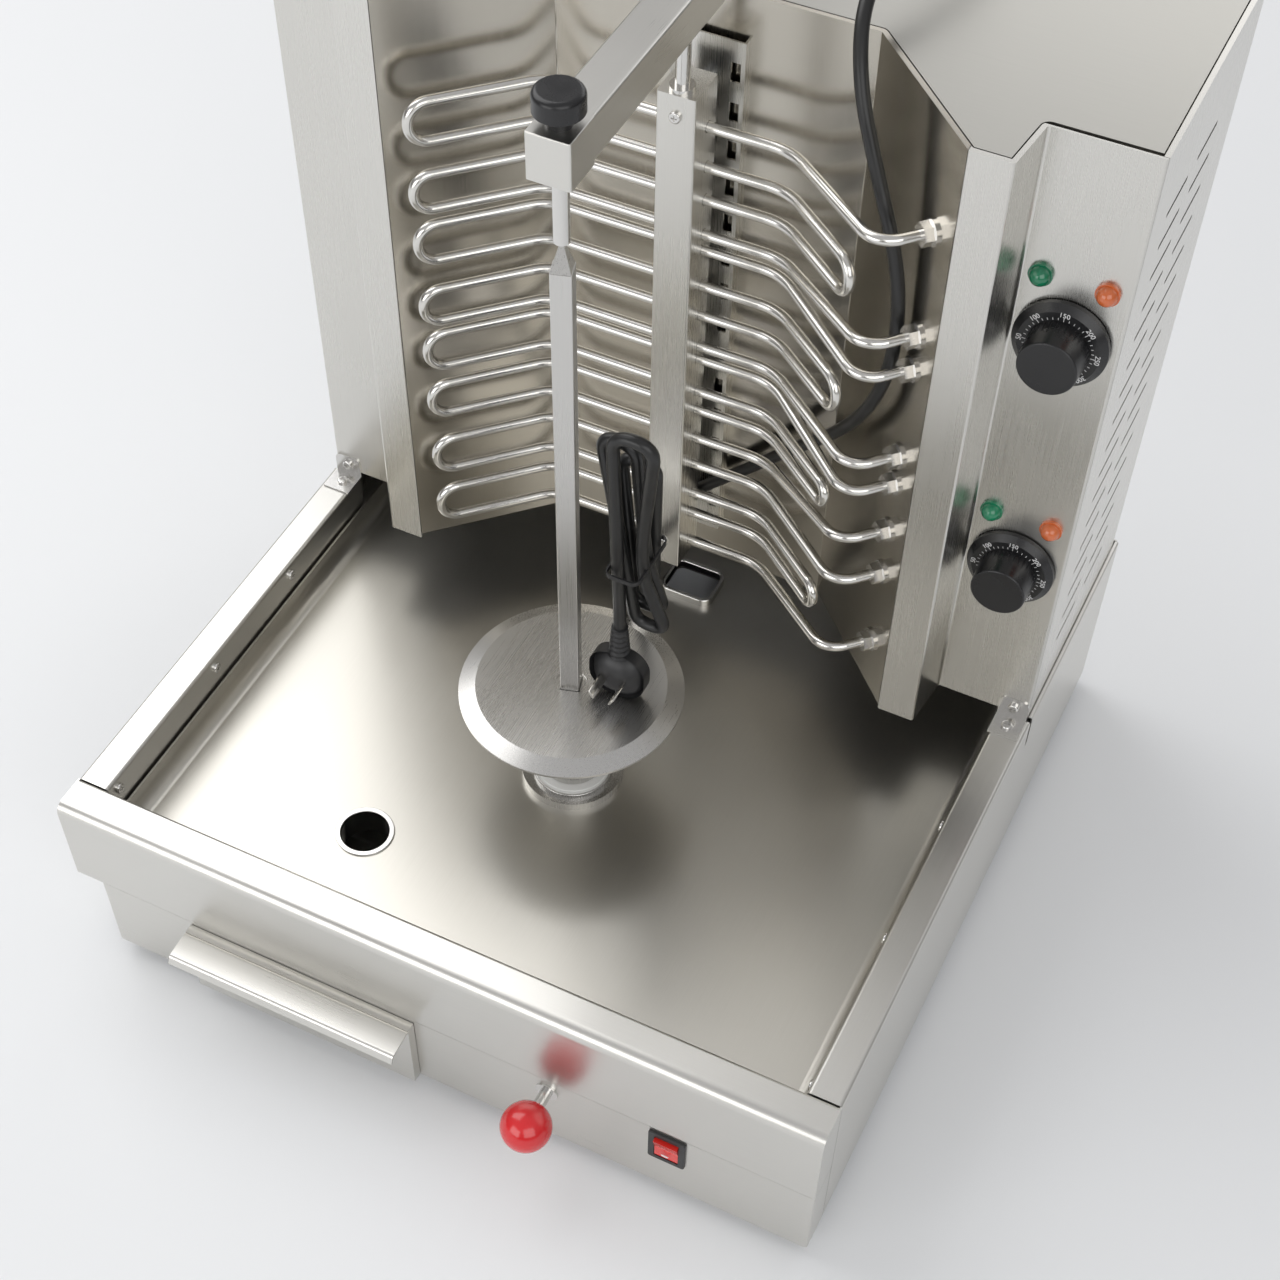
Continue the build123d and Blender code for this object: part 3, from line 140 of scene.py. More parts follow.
def sheet_group() -> Any:
    """The brushed-sheet effect: fine lines, cloudy handling marks, and their roughness and height.

    Returns:
        The node group.
    """
    tree, start, end = new_group(
        "brushed sheet",
        {"Line Scale": ("NodeSocketVector", (14.0, 900.0, 900.0)), "Rough Low": ("NodeSocketFloat", 0.22),
         "Rough High": ("NodeSocketFloat", 0.36), "Dark": ("NodeSocketColor", (0.6, 0.59, 0.56, 1.0)),
         "Light": ("NodeSocketColor", (0.7, 0.69, 0.66, 1.0))},
        {"Color": "NodeSocketColor", "Roughness": "NodeSocketFloat", "Height": "NodeSocketFloat"})
    place = tree.nodes.new("ShaderNodeTexCoord")
    scaled = tree.nodes.new("ShaderNodeVectorMath")
    scaled.operation = "MULTIPLY"
    tree.links.new(place.outputs["Object"], scaled.inputs[0])
    tree.links.new(start.outputs["Line Scale"], scaled.inputs[1])
    lines = noise(tree, scaled.outputs[0], 1.0, 3.0)
    clouds = noise(tree, place.outputs["Object"], CLOUD_SCALE, 4.0)
    mixed = math_node(tree, "ADD", math_node(tree, "MULTIPLY", lines, LINE_SHARE),
                      math_node(tree, "MULTIPLY", clouds, CLOUD_SHARE))
    spread = tree.nodes.new("ShaderNodeMapRange")
    spread.inputs["From Min"].default_value = 0.3
    spread.inputs["From Max"].default_value = 0.7
    tree.links.new(mixed, spread.inputs["Value"])
    tree.links.new(start.outputs["Rough Low"], spread.inputs["To Min"])
    tree.links.new(start.outputs["Rough High"], spread.inputs["To Max"])
    tint = tree.nodes.new("ShaderNodeMix")
    tint.data_type = "RGBA"
    tree.links.new(mixed, tint.inputs["Factor"])
    tree.links.new(start.outputs["Dark"], tint.inputs["A"])
    tree.links.new(start.outputs["Light"], tint.inputs["B"])
    tree.links.new(tint.outputs["Result"], end.inputs["Color"])
    tree.links.new(spread.outputs["Result"], end.inputs["Roughness"])
    tree.links.new(lines, end.inputs["Height"])
    return tree


def moulding_group() -> Any:
    """The moulded-plastic effect: a fine skin with a few scuffs, as roughness and height.

    Returns:
        The node group.
    """
    tree, start, end = new_group(
        "moulded skin",
        {"Grain Scale": ("NodeSocketFloat", 900.0), "Rough Low": ("NodeSocketFloat", 0.2),
         "Rough High": ("NodeSocketFloat", 0.4), "Dark": ("NodeSocketColor", (0.01, 0.01, 0.01, 1.0)),
         "Light": ("NodeSocketColor", (0.02, 0.02, 0.02, 1.0))},
        {"Color": "NodeSocketColor", "Roughness": "NodeSocketFloat", "Height": "NodeSocketFloat"})
    place = tree.nodes.new("ShaderNodeTexCoord")
    grain = tree.nodes.new("ShaderNodeTexNoise")
    grain.inputs["Detail"].default_value = 2.0
    tree.links.new(start.outputs["Grain Scale"], grain.inputs["Scale"])
    tree.links.new(place.outputs["Object"], grain.inputs["Vector"])
    scuffs = noise(tree, place.outputs["Object"], SCUFF_SCALE, 5.0)
    spread = tree.nodes.new("ShaderNodeMapRange")
    spread.inputs["From Min"].default_value = 0.35
    spread.inputs["From Max"].default_value = 0.68
    tree.links.new(scuffs, spread.inputs["Value"])
    tree.links.new(start.outputs["Rough Low"], spread.inputs["To Min"])
    tree.links.new(start.outputs["Rough High"], spread.inputs["To Max"])
    tint = tree.nodes.new("ShaderNodeMix")
    tint.data_type = "RGBA"
    tree.links.new(scuffs, tint.inputs["Factor"])
    tree.links.new(start.outputs["Dark"], tint.inputs["A"])
    tree.links.new(start.outputs["Light"], tint.inputs["B"])
    tree.links.new(tint.outputs["Result"], end.inputs["Color"])
    tree.links.new(spread.outputs["Result"], end.inputs["Roughness"])
    tree.links.new(grain.outputs[0], end.inputs["Height"])
    return tree


# Finishes


@dataclass(frozen=True)
class Finish:
    """One finish: its colours, its roughness and the shader values that stay the same all over."""

    name: str
    dark: Colour
    light: Colour
    rough: tuple[float, float]
    metallic: float = 0.0
    bump: float = 0.1
    bump_depth: float = 0.00002
    coat: float = 0.0
    specular: float = 0.5
    grain: float = 900.0
    brush: Brush | None = None

    def build(self, groups: dict[str, Any]) -> Any:
        """Makes the material.

        Args:
            groups: The shared node groups by name.

        Returns:
            The material.
        """
        material = bpy.data.materials.new(self.name)
        material.use_nodes = True
        tree = material.node_tree
        shader = tree.nodes["Principled BSDF"]
        effect = tree.nodes.new("ShaderNodeGroup")
        effect.node_tree = groups["sheet" if self.brush else "moulding"]
        effect.inputs["Rough Low"].default_value = self.rough[0]
        effect.inputs["Rough High"].default_value = self.rough[1]
        effect.inputs["Dark"].default_value = (*self.dark, 1.0)
        effect.inputs["Light"].default_value = (*self.light, 1.0)
        if self.brush:
            effect.inputs["Line Scale"].default_value = self.brush.value
        else:
            effect.inputs["Grain Scale"].default_value = self.grain
        bump = tree.nodes.new("ShaderNodeBump")
        bump.inputs["Strength"].default_value = self.bump
        bump.inputs["Distance"].default_value = self.bump_depth
        tree.links.new(effect.outputs["Height"], bump.inputs["Height"])
        tree.links.new(effect.outputs["Color"], shader.inputs["Base Color"])
        tree.links.new(effect.outputs["Roughness"], shader.inputs["Roughness"])
        tree.links.new(bump.outputs["Normal"], shader.inputs["Normal"])
        shader.inputs["Metallic"].default_value = self.metallic
        shader.inputs["Coat Weight"].default_value = self.coat
        shader.inputs["Coat Roughness"].default_value = COAT_ROUGHNESS
        shader.inputs["Specular IOR Level"].default_value = self.specular
        return material


STEEL_DARK: Colour = (0.62, 0.605, 0.57)
STEEL_LIGHT: Colour = (0.74, 0.73, 0.695)
FINISHES: tuple[Finish, ...] = (
    Finish("sheet_across", STEEL_DARK, STEEL_LIGHT, (0.26, 0.34), 1.0, 0.06, brush=Brush.ACROSS),
    Finish("sheet_deep", STEEL_DARK, STEEL_LIGHT, (0.26, 0.34), 1.0, 0.06, brush=Brush.DEEP),
    Finish("sheet_up", STEEL_DARK, STEEL_LIGHT, (0.24, 0.32), 1.0, 0.06, brush=Brush.UP),
    # Painted shade: the deck's steel is the sheet steel made about a tenth darker and a little warmer.
    Finish("deck_sheet_painted_shade", (0.56, 0.54, 0.49), (0.68, 0.66, 0.61), (0.28, 0.36), 1.0, 0.04, brush=Brush.DEEP),
    # Painted shade: the niche's steel is the sheet steel made about a quarter darker and warmer, for the
    # shade in the recess.
    Finish("niche_sheet_painted_shade", (0.44, 0.41, 0.355), (0.58, 0.55, 0.49), (0.15, 0.23), 1.0, 0.05, brush=Brush.UP),
    Finish("element_tube", (0.62, 0.60, 0.56), (0.78, 0.77, 0.74), (0.14, 0.26), 1.0, 0.1, brush=Brush.ROUND),
    Finish("bright_fittings", (0.62, 0.61, 0.59), (0.76, 0.75, 0.73), (0.12, 0.24), 1.0, 0.1,
           brush=Brush.ROUND),
    Finish("spit_steel", (0.55, 0.54, 0.52), (0.68, 0.67, 0.65), (0.22, 0.34), 1.0, 0.15, brush=Brush.UP),
    # Painted shade: the roof's steel is the sheet steel made about a quarter darker, with the same hue.
    Finish("roof_sheet_painted_shade", (0.46, 0.45, 0.42), (0.58, 0.57, 0.53), (0.28, 0.36), 1.0, 0.05, brush=Brush.ACROSS),
    Finish("disc_steel", (0.56, 0.55, 0.53), (0.68, 0.67, 0.65), (0.24, 0.36), 1.0, 0.15, brush=Brush.DEEP),
    Finish("black_knob", (0.008, 0.008, 0.009), (0.016, 0.016, 0.017), (0.22, 0.38), bump=0.15),
    Finish("black_plastic", (0.012, 0.012, 0.013), (0.025, 0.025, 0.026), (0.35, 0.5), bump=0.3),
    Finish("red_ball", (0.55, 0.008, 0.012), (0.68, 0.015, 0.02), (0.14, 0.24), bump=0.05, coat=0.5),
    Finish("red_rocker", (0.62, 0.02, 0.015), (0.78, 0.035, 0.025), (0.15, 0.28), bump=0.05, coat=0.4),
    Finish("green_lens", (0.0, 0.10, 0.045), (0.01, 0.26, 0.12), (0.06, 0.16), bump=0.05, coat=0.6,
           grain=220.0),
    Finish("orange_lens", (0.45, 0.08, 0.02), (0.70, 0.18, 0.05), (0.06, 0.16), bump=0.05, coat=0.6,
           grain=220.0),
    Finish("black_rubber", (0.01, 0.01, 0.01), (0.022, 0.022, 0.022), (0.5, 0.7), bump=0.4),
    Finish("white_nylon", (0.66, 0.66, 0.64), (0.76, 0.76, 0.74), (0.3, 0.45), bump=0.1),
    Finish("zinc_steel", (0.42, 0.43, 0.44), (0.56, 0.57, 0.58), (0.32, 0.48), 1.0, 0.2, brush=Brush.ROUND),
    Finish("gear_brass", (0.55, 0.40, 0.18), (0.68, 0.52, 0.26), (0.25, 0.38), 1.0, 0.15, brush=Brush.ROUND),
    Finish("cord_jacket", (0.008, 0.008, 0.008), (0.018, 0.018, 0.018), (0.28, 0.42), bump=0.15, grain=600.0),
    Finish("terminal_plastic", (0.55, 0.52, 0.45), (0.66, 0.63, 0.56), (0.4, 0.55), bump=0.2),
    Finish("white_print", (0.72, 0.72, 0.72), (0.82, 0.82, 0.82), (0.4, 0.55), bump=0.05),
    Finish("pin_metal", (0.62, 0.60, 0.56), (0.76, 0.74, 0.70), (0.18, 0.3), 1.0, 0.1, brush=Brush.ROUND),
)

NODE_FINISH: dict[str, str] = {
    "front_apron": "sheet_across", "lower_front_panel": "sheet_across", "drawer_front": "sheet_across",
    "left_side_panel": "sheet_deep", "right_side_panel": "sheet_deep", "deck_pan": "deck_sheet_painted_shade",
    "base_rear_panel": "sheet_across", "base_plate": "zinc_steel", "drawer_tray": "sheet_deep",
    "drawer_runners": "zinc_steel", "niche_liner": "niche_sheet_painted_shade", "left_front_panel": "sheet_up",
    "control_panel": "sheet_up", "cabinet_sides": "sheet_up", "heating_elements": "element_tube",
    "cabinet_back": "sheet_up", "roof_plate": "roof_sheet_painted_shade", "corner_brackets": "bright_fittings",
    "front_channel": "sheet_up", "rear_channel": "sheet_up", "channel_spacers": "zinc_steel",
    "support_arm": "sheet_deep", "arm_head": "sheet_deep", "arm_clamp": "sheet_deep",
    "spit_rod": "spit_steel", "spit_hub": "spit_steel", "spit_disc": "disc_steel",
    "deck_collar": "spit_steel", "upper_dial": "black_knob", "lower_dial": "black_knob",
    "pull_knob": "black_knob", "lever_ball": "red_ball", "switch_rocker": "red_rocker",
    "green_lamps": "green_lens", "orange_lamps": "orange_lens", "rubber_feet": "black_rubber",
    "nylon_washer": "white_nylon", "driven_gear": "gear_brass", "motor_pinion": "gear_brass",
    "motor_plate": "zinc_steel", "motor_stand": "zinc_steel", "drive_shaft": "zinc_steel",
    "bearing_housing": "zinc_steel", "terminal_block": "terminal_plastic", "mains_cord": "cord_jacket",
    "cord_hank": "cord_jacket", "mains_plug": "black_plastic", "cord_tie": "black_plastic",
    "cord_gland": "black_plastic", "switch_body": "black_plastic", "lever_bush": "bright_fittings",
    "gear_motor": "black_plastic", "thermostats": "black_plastic",
}


class Wardrobe:
    """Builds every finish once and hands it to nodes and pieces."""

    def __init__(self) -> None:
        """Makes the shared groups and all materials."""
        groups = {"sheet": sheet_group(), "moulding": moulding_group()}
        self.materials: dict[str, Any] = {f.name: f.build(groups) for f in FINISHES}

    def dress_nodes(self, nodes: dict[str, Any]) -> None:
        """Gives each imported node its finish.

        Args:
            nodes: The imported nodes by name.
        """
        for name, node in nodes.items():
            self.wear(node, NODE_FINISH.get(name, "bright_fittings"))
        log.info("dressed %d packed nodes", len(nodes))

    def wear(self, piece: Any, finish: str) -> None:
        """Puts one finish on a piece.

        Args:
            piece: The object.
            finish: The finish's name.
        """
        if piece.material_slots:
            for item in piece.material_slots:
                item.material = self.materials[finish]
        else:
            piece.data.materials.append(self.materials[finish])


# Modelling helpers


def deselect() -> None:
    """Leaves nothing selected."""
    if bpy.context.object and bpy.context.object.mode != "OBJECT":
        bpy.ops.object.mode_set(mode="OBJECT")
    bpy.ops.object.select_all(action="DESELECT")


def settle(piece: Any, name: str) -> Any:
    """Names a piece and puts its place, turn and size into its mesh.

    Args:
        piece: The object.
        name: Its name.

    Returns:
        The same object.
    """
    deselect()
    piece.name = name
    piece.select_set(True)
    bpy.context.view_layer.objects.active = piece
    bpy.ops.object.transform_apply(location=True, rotation=True, scale=True)
    return piece


def bevelled(piece: Any, width: float, segments: int) -> None:
    """Rounds a piece's edges and applies the modifier.

    Args:
        piece: The object.
        width: The bevel's width in metres.
        segments: The number of segments.
    """
    deselect()
    piece.select_set(True)
    bpy.context.view_layer.objects.active = piece
    modifier = piece.modifiers.new("rounding", "BEVEL")
    modifier.width = width
    modifier.segments = segments
    modifier.limit_method = "ANGLE"
    bpy.ops.object.modifier_apply(modifier=modifier.name)


def join(pieces: list[Any], name: str) -> Any:
    """Joins pieces into one.

    Args:
        pieces: The objects.
        name: The name of the result.

    Returns:
        The joined object.
    """
    deselect()
    for piece in pieces:
        piece.select_set(True)
    bpy.context.view_layer.objects.active = pieces[0]
    if len(pieces) > 1:
        bpy.ops.object.join()
    pieces[0].name = name
    return pieces[0]


def smooth(piece: Any, angle: float = 35.0) -> None:
    """Shades a piece smooth where its faces meet at less than an angle.

    Args:
        piece: The object.
        angle: The angle in degrees.
    """
    deselect()
    piece.select_set(True)
    bpy.context.view_layer.objects.active = piece
    bpy.ops.object.shade_smooth_by_angle(angle=math.radians(angle))


# Mains lead


@dataclass
class MainsLead:
    """The mains lead from the rear gland over the roof to the tied hank and its plug."""

    diameter: float = 0.008
    length: float = 2.0
    free_points: tuple[Point, ...] = (
        (0.1120, 0.30775, 0.4700), (0.1120, 0.32975, 0.4700), (0.1120, 0.34975, 0.4900),
        (0.1110, 0.36075, 0.5300), (0.1090, 0.35675, 0.5780), (0.1050, 0.32975, 0.6200),
        (0.1000, 0.28175, 0.6390), (0.0950, 0.22975, 0.6320), (0.0890, 0.17675, 0.6180),
        (0.0860, 0.13275, 0.6090), (0.0980, 0.10475, 0.5780), (0.1170, 0.09675, 0.5320),
        (0.1360, 0.08775, 0.4920), (0.1430, 0.08475, 0.4560), (0.1420, 0.08375, 0.4180),
        (0.1320, 0.08775, 0.3820), (0.1100, 0.10175, 0.3430), (0.0770, 0.11975, 0.3010),
        (0.0480, 0.12775, 0.2660), (0.0160, 0.12935, 0.2340), (-0.0090, 0.12935, 0.2100),
        (-0.0240, 0.12275, 0.1880), (-0.0230, 0.09975, 0.1770), (-0.0120, 0.07275, 0.1870),
        (0.0040, 0.04775, 0.2050), (0.0200, 0.02775, 0.2280), (0.0340, 0.01075, 0.2530),
        (0.0406, -0.00575, 0.2830), (0.0406, -0.00575, 0.3020))
    hank_points: tuple[Point, ...] = (
        (0.0406, -0.00575, 0.3180), (0.0436, -0.01230, 0.3662), (0.0450, -0.01525, 0.3880),
        (0.0230, -0.01525, 0.3880), (0.0255, -0.01616, 0.3662), (0.0314, -0.01825, 0.3160),
        (0.0300, -0.01401, 0.2877), (0.0290, -0.01075, 0.2660), (0.0510, -0.01075, 0.2660),
        (0.0466, -0.01395, 0.2873), (0.0406, -0.01825, 0.3160), (0.0386, -0.02515, 0.3881),
        (0.0380, -0.02725, 0.4100), (0.0160, -0.02725, 0.4100), (0.0196, -0.02725, 0.3883),
        (0.0314, -0.02725, 0.3160), (0.0340, -0.02248, 0.2798), (0.0355, -0.01975, 0.2590),
        (0.0565, -0.01975, 0.2590), (0.0509, -0.02239, 0.2791), (0.0406, -0.02725, 0.3160),
        (0.0516, -0.03645, 0.4004), (0.0550, -0.03925, 0.4260), (0.0290, -0.03925, 0.4260),
        (0.0296, -0.03854, 0.4000), (0.0314, -0.03625, 0.3160), (0.0300, -0.03025, 0.2755),
        (0.0300, -0.03025, 0.2605))
    plug_centre: Point = (0.0300, -0.03025, 0.2195)
    plug_size: Point = (0.038, 0.020, 0.038)
    corner_share: float = 0.42
    edge_rounding: float = 0.0028
    pin_length: float = 0.017
    pin_thickness: float = 0.0016
    pin_height: float = 0.0064
    pin_offset: float = 0.00685
    pin_lean: float = 30.0
    pin_root: float = 0.001
    relief_low: float = 0.2355
    relief_high: float = 0.2605
    relief_radius: float = 0.0073
    relief_taper: float = 0.26
    groove_share: float = 0.84
    ribs: int = 6

    def build(self, wardrobe: Wardrobe) -> None:
        """Makes the plug and the cord.

        Args:
            wardrobe: The finishes.
        """
        plug = self.make_plug(wardrobe)
        self.make_cord(wardrobe)

    def make_cord(self, wardrobe: Wardrobe) -> None:
        """Args:
            wardrobe: The finishes.
        """
        curve = bpy.data.curves.new("mains_lead", "CURVE")
        curve.dimensions = "3D"
        spline = curve.splines.new("NURBS")
        points = self.free_points + self.hank_points
        spline.points.add(len(points) - 1)
        for knot, place in zip(spline.points, points):
            knot.co = (*place, 1.0)
        spline.order_u = 3
        spline.use_endpoint_u = True
        spline.resolution_u = 10
        curve.bevel_depth = self.diameter / 2
        curve.bevel_resolution = 6
        curve.use_fill_caps = True
        lead = bpy.data.objects.new("mains_lead", curve)
        bpy.context.scene.collection.objects.link(lead)
        wardrobe.wear(lead, "cord_jacket")
        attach(lead, "frame")
        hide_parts("mains_cord", "cord_hank")
        log.info("made the mains lead")

    def make_plug(self, wardrobe: Wardrobe) -> Any:
        """Makes the plug: a soft body, a ribbed strain relief and two slanted pins.

        Args:
            wardrobe: The finishes.

        Returns:
            The plug.
        """
        x, y, z = self.plug_centre
        deselect()
        bpy.ops.mesh.primitive_cube_add(size=1.0, location=self.plug_centre)
        body = bpy.context.object
        body.scale = self.plug_size
        settle(body, "plug_body")
        body.data.materials.append(wardrobe.materials["black_plastic"])
        bpy.ops.object.mode_set(mode="EDIT")
        bpy.ops.mesh.select_all(action="DESELECT")
        bpy.ops.object.mode_set(mode="OBJECT")
        for edge in body.data.edges:
            a, b = (body.data.vertices[i].co for i in edge.vertices)
            edge.select = abs(a.y - b.y) > self.plug_size[1] / 2
        bpy.ops.object.mode_set(mode="EDIT")
        bpy.ops.mesh.select_mode(type="EDGE")
        bpy.ops.mesh.bevel(offset=self.plug_size[0] * self.corner_share, segments=10, affect="EDGES")
        bpy.ops.object.mode_set(mode="OBJECT")
        bevelled(body, self.edge_rounding, 4)
        relief = self.make_relief(x, y)
        relief.data.materials.append(wardrobe.materials["black_plastic"])
        pieces = [body, relief]
        for side in (-1.0, 1.0):
            deselect()
            front = y - self.plug_size[1] / 2
            place = (x + side * self.pin_offset, front - self.pin_length / 2 + self.pin_root, z)
            bpy.ops.mesh.primitive_cube_add(size=1.0, location=place)
            pin = bpy.context.object
            pin.scale = (self.pin_thickness, self.pin_length, self.pin_height)
            pin.rotation_euler = (0.0, side * math.radians(self.pin_lean), 0.0)
            settle(pin, "plug_pin")
            bevelled(pin, 0.0004, 2)
            pin.data.materials.append(wardrobe.materials["pin_metal"])
            pieces.append(pin)
        plug = join(pieces, "lead_plug")
        smooth(plug)
        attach(plug, "frame")
        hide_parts("mains_plug")
        log.info("made the plug")
        return plug

    def make_relief(self, x: float, y: float) -> Any:
        """Makes the ribbed strain relief above the plug.

        Args:
            x: Its axis across.
            y: Its axis in depth.

        Returns:
            The relief.
        """
        deselect()
        height = self.relief_high - self.relief_low
        bpy.ops.mesh.primitive_cylinder_add(vertices=32, radius=self.relief_radius, depth=height,
                                            location=(x, y, (self.relief_low + self.relief_high) / 2))
        relief = bpy.context.object
        settle(relief, "plug_relief")
        bpy.ops.object.mode_set(mode="EDIT")
        for index in range(1, 2 * self.ribs):
            cut = self.relief_low + height * index / (2 * self.ribs)
            bpy.ops.mesh.select_all(action="SELECT")
            bpy.ops.mesh.bisect(plane_co=(x, y, cut), plane_no=(0.0, 0.0, 1.0))
        bpy.ops.object.mode_set(mode="OBJECT")
        for vertex in relief.data.vertices:
            rise = (vertex.co.z - self.relief_low) / height
            step = round(rise * 2 * self.ribs)
            taper = 1.0 - self.relief_taper * rise
            groove = self.groove_share if step % 2 else 1.0
            vertex.co.x = x + (vertex.co.x - x) * taper * groove
            vertex.co.y = y + (vertex.co.y - y) * taper * groove
        bevelled(relief, 0.0005, 2)
        return relief


# Dials and switch marks


@dataclass
class DialMarks:
    """White scale marks and numbers on the skirts of the two dials."""

    centre_x: float = 0.230
    heights: tuple[float, float] = (0.460, 0.285)
    bodies: tuple[str, str] = ("upper_dial_body", "lower_dial_body")
    face_y: float = SEAM_Y + 0.317 - 0.0008 - 0.006
    ring: float = 0.0221
    tick_ring: float = 0.0194
    tick_count: int = 31
    ticks_per_figure: int = 5
    tick_width: float = 0.0003
    tick_depth: float = 0.0002
    short_tick: float = 0.0014
    long_tick: float = 0.0022
    lift: float = 0.0001
    figure_size: float = 0.0042
    figure_depth: float = 0.0001
    numbers: tuple[str, ...] = ("0", "50", "100", "150", "200", "250", "300")
    sweep: float = 270.0

    def build(self, wardrobe: Wardrobe) -> None:
        """Makes both rings of marks.

        Args:
            wardrobe: The finishes.
        """
        for height, body in zip(self.heights, self.bodies):
            pieces = self.ticks(height) + self.figures(height)
            marks = join(pieces, f"marks_{body}")
            settle(marks, f"marks_{body}")
            marks.data.materials.clear()
            wardrobe.wear(marks, "white_print")
            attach(marks, body)
            log.info("made the marks of %s", body)

    def place(self, height: float, angle: float, radius: float, lift: float) -> Vector:
        """A point on a dial's face.

        Args:
            height: The dial's height.
            angle: The angle from the top, clockwise, in degrees.
            radius: The distance from the centre.
            lift: How far it stands in front of the face.

        Returns:
            The point.
        """
        turn = math.radians(angle)
        return Vector((self.centre_x + radius * math.sin(turn), self.face_y - lift,
                       height + radius * math.cos(turn)))

    def ticks(self, height: float) -> list[Any]:
        """The short lines round a dial.

        Args:
            height: The dial's height.

        Returns:
            The line pieces.
        """
        made = []
        for index in range(self.tick_count):
            angle = -self.sweep / 2 + self.sweep * index / (self.tick_count - 1)
            deselect()
            middle = self.place(height, angle, self.tick_ring, self.lift)
            bpy.ops.mesh.primitive_cube_add(size=1.0, location=middle)
            tick = bpy.context.object
            reach = self.short_tick if index % self.ticks_per_figure else self.long_tick
            tick.scale = (self.tick_width, self.tick_depth, reach)
            tick.rotation_euler = (0.0, math.radians(angle), 0.0)
            made.append(tick)
        return made

    def figures(self, height: float) -> list[Any]:
        """The numbers round a dial.

        Args:
            height: The dial's height.

        Returns:
            The number pieces.
        """
        made = []
        for index, word in enumerate(self.numbers):
            angle = -self.sweep / 2 + self.sweep * index / (len(self.numbers) - 1)
            deselect()
            bpy.ops.object.text_add(location=self.place(height, angle, self.ring, self.lift))
            text = bpy.context.object
            text.data.body = word
            text.data.size = self.figure_size
            text.data.align_x = "CENTER"
            text.data.align_y = "CENTER"
            text.data.extrude = self.figure_depth
            text.rotation_euler = (Matrix.Rotation(math.radians(angle), 3, "Y")
                                   @ Matrix.Rotation(math.radians(90.0), 3, "X")).to_euler()
            bpy.ops.object.convert(target="MESH")
            made.append(bpy.context.object)
        return made


@dataclass
class RockerMarks:
    """The on and off marks on the rocker."""

    centre: Point = (0.168, SEAM_Y - 0.0222, 0.061)
    reach: float = 0.0063
    line_size: Point = (0.0052, 0.0004, 0.0009)
    line_tilt: float = -7.0
    ring_radius: float = 0.0021
    ring_wire: float = 0.0004
    ring_tilt: float = 112.0

    def build(self, wardrobe: Wardrobe) -> None:
        """Makes the line and the ring.

        Args:
            wardrobe: The finishes.
        """
        x, y, z = self.centre
        deselect()
        bpy.ops.mesh.primitive_cube_add(size=1.0, location=(x, y - 0.00515, z + self.reach - 0.0011))
        line = bpy.context.object
        line.scale = self.line_size
        line.rotation_euler = (math.radians(self.line_tilt), 0.0, 0.0)
        deselect()
        bpy.ops.mesh.primitive_torus_add(major_radius=self.ring_radius, minor_radius=self.ring_wire,
                                         major_segments=32, minor_segments=8,
                                         location=(x, y - 0.0063, z - self.reach + 0.0016))
        ring = bpy.context.object
        ring.rotation_euler = (math.radians(self.ring_tilt), 0.0, 0.0)
        marks = join([line, ring], "rocker_marks")
        settle(marks, "rocker_marks")
        wardrobe.wear(marks, "white_print")
        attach(marks, "rocker")
        log.info("made the rocker marks")


# Studio


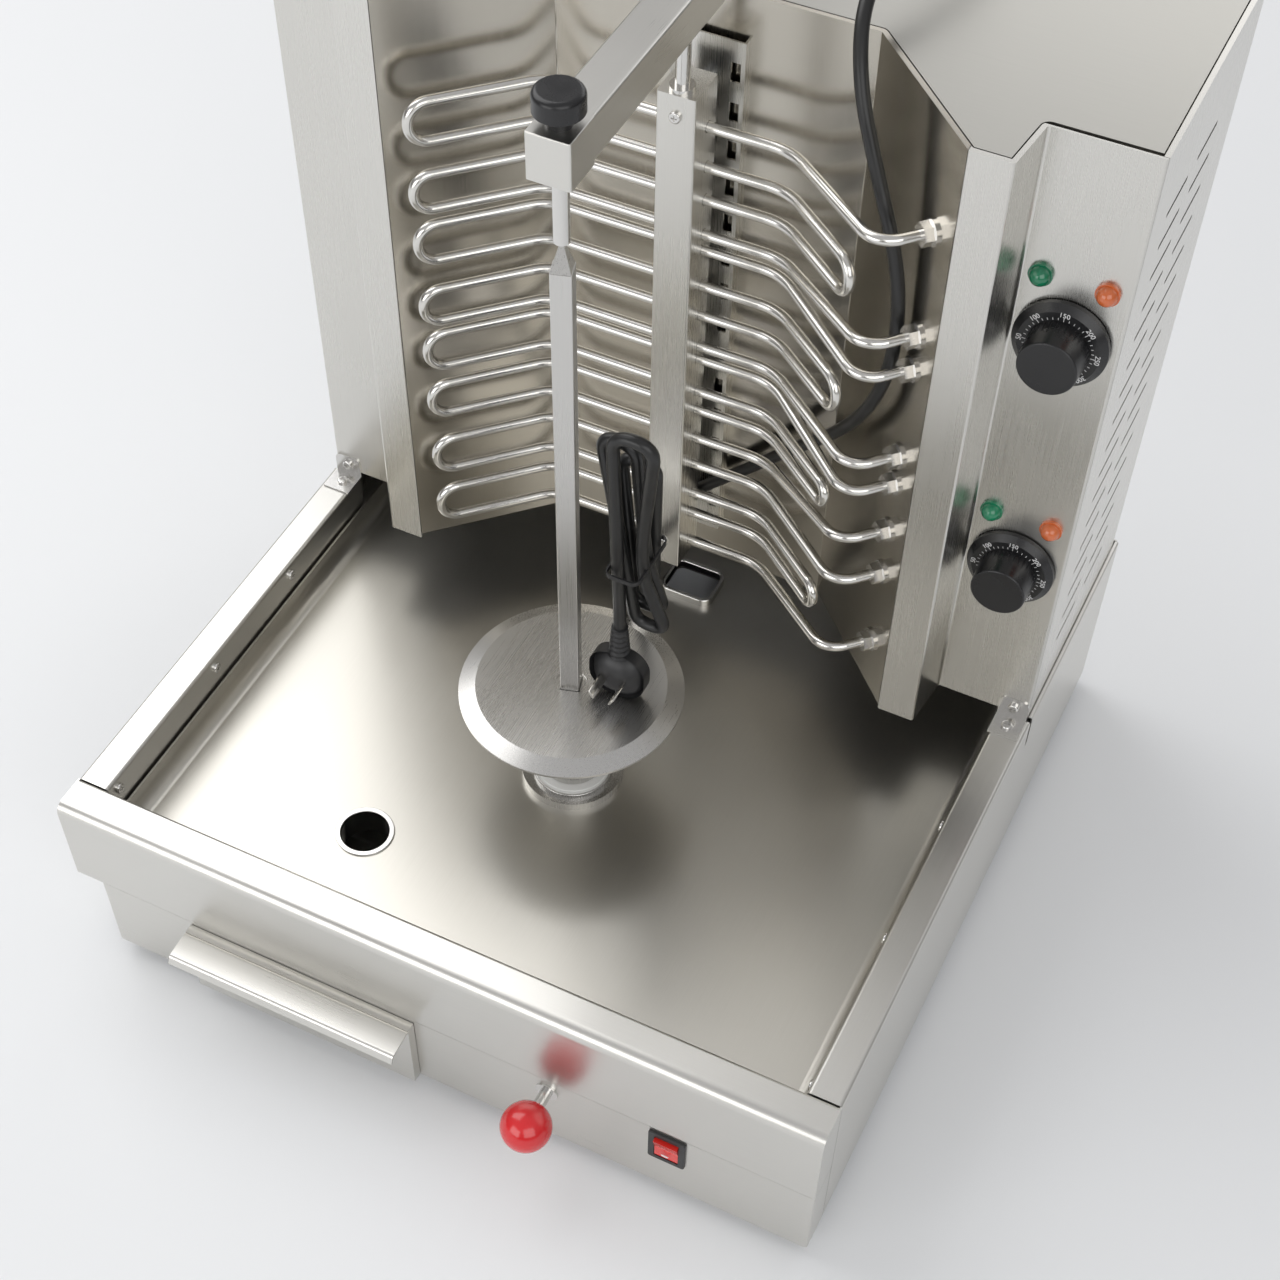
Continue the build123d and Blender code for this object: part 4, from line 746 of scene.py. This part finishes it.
@dataclass
class Studio:
    """Camera, floor, world and soft lamps."""

    position: Point = (0.40313, -0.79084, 1.21432)
    azimuth: float = 26.98
    elevation: float = 53.14
    roll: float = -0.27
    focal_pixels: float = 2087.6
    centre_pixel: tuple[float, float] = (600.0, 800.0)
    sensor: float = 36.0
    floor_size: float = 14.0
    floor_drop: float = 0.0002
    sky_strength: float = 0.62

    def camera(self) -> None:
        """Sets the camera at the photograph's place and angle."""
        az, el, roll = (math.radians(v) for v in (self.azimuth, self.elevation, self.roll))
        ahead = Vector((-math.sin(az) * math.cos(el), math.cos(az) * math.cos(el), -math.sin(el)))
        right = Vector((math.cos(az), math.sin(az), 0.0))
        up = right.cross(ahead)
        side = right * math.cos(roll) + up * math.sin(roll)
        top = up * math.cos(roll) - right * math.sin(roll)
        data = bpy.data.cameras.new("camera")
        data.sensor_width = self.sensor
        data.lens = self.focal_pixels * self.sensor / PHOTO_SIDE
        data.shift_x = (PHOTO_SIDE / 2 - self.centre_pixel[0]) / PHOTO_SIDE
        data.shift_y = (self.centre_pixel[1] - PHOTO_SIDE / 2) / PHOTO_SIDE
        camera = bpy.data.objects.new("camera", data)
        turn = Matrix((side, top, -ahead)).transposed().to_4x4()
        camera.matrix_world = Matrix.Translation(self.position) @ turn
        bpy.context.scene.collection.objects.link(camera)
        bpy.context.scene.camera = camera

    def floor(self) -> None:
        """Lays a pale floor just under the feet."""
        deselect()
        bpy.ops.mesh.primitive_plane_add(size=self.floor_size, location=(0.0, 0.0, -self.floor_drop))
        floor = bpy.context.object
        floor.name = "studio_floor"
        material = bpy.data.materials.new("studio_floor")
        material.use_nodes = True
        shader = material.node_tree.nodes["Principled BSDF"]
        shader.inputs["Base Color"].default_value = (0.82, 0.83, 0.84, 1.0)
        shader.inputs["Roughness"].default_value = 0.7
        shader.inputs["Specular IOR Level"].default_value = 0.2
        floor.data.materials.append(material)

    def world(self) -> None:
        """Makes a soft sky, brighter above than below."""
        world = bpy.data.worlds.new("studio")
        world.use_nodes = True
        bpy.context.scene.world = world
        tree = world.node_tree
        background = tree.nodes["Background"]
        place = tree.nodes.new("ShaderNodeTexCoord")
        split = tree.nodes.new("ShaderNodeSeparateXYZ")
        ramp = tree.nodes.new("ShaderNodeValToRGB")
        ramp.color_ramp.elements[0].position = 0.0
        ramp.color_ramp.elements[0].color = (0.30, 0.29, 0.275, 1.0)
        ramp.color_ramp.elements[1].position = 0.75
        ramp.color_ramp.elements[1].color = (0.86, 0.86, 0.875, 1.0)
        tree.links.new(place.outputs["Generated"], split.inputs[0])
        tree.links.new(split.outputs["Z"], ramp.inputs["Fac"])
        tree.links.new(ramp.outputs["Color"], background.inputs["Color"])
        background.inputs["Strength"].default_value = self.sky_strength

    def lamp(self, name: str, place: Point, size: tuple[float, float], power: float, target: Point) -> None:
        """Hangs one soft rectangular lamp.

        Args:
            name: Its name.
            place: Where it hangs.
            size: Its width and height.
            power: Its power in watts.
            target: The point it faces.
        """
        data = bpy.data.lights.new(name, "AREA")
        data.shape = "RECTANGLE"
        data.size, data.size_y = size
        data.energy = power
        lamp = bpy.data.objects.new(name, data)
        lamp.location = place
        ahead = Vector(target) - Vector(place)
        lamp.rotation_euler = ahead.to_track_quat("-Z", "Y").to_euler()
        bpy.context.scene.collection.objects.link(lamp)

    def lamps(self) -> None:
        """Hangs the soft lamps."""
        middle = (0.0, 0.0, 0.2)
        self.lamp("key", (-1.7, 0.5, 2.3), (2.4, 2.4), 38.0, middle)
        self.lamp("fill", (1.8, -2.0, 1.6), (2.4, 2.0), 26.0, middle)
        self.lamp("front", (-0.9, -2.4, 1.0), (2.0, 1.4), 20.0, middle)
        self.lamp("back", (0.4, 2.8, 1.7), (2.8, 1.4), 14.0, middle)

    def build(self) -> None:
        """Makes the whole studio."""
        self.camera()
        self.floor()
        self.world()
        self.lamps()
        bpy.context.scene.view_settings.view_transform = "Standard"
        log.info("made the studio")


def main() -> None:
    """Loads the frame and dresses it."""
    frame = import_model()
    Studio().build()
    wardrobe = Wardrobe()
    wardrobe.dress_nodes(frame["nodes"])
    MainsLead().build(wardrobe)
    DialMarks().build(wardrobe)
    RockerMarks().build(wardrobe)


if __name__ == "__main__":
    main()
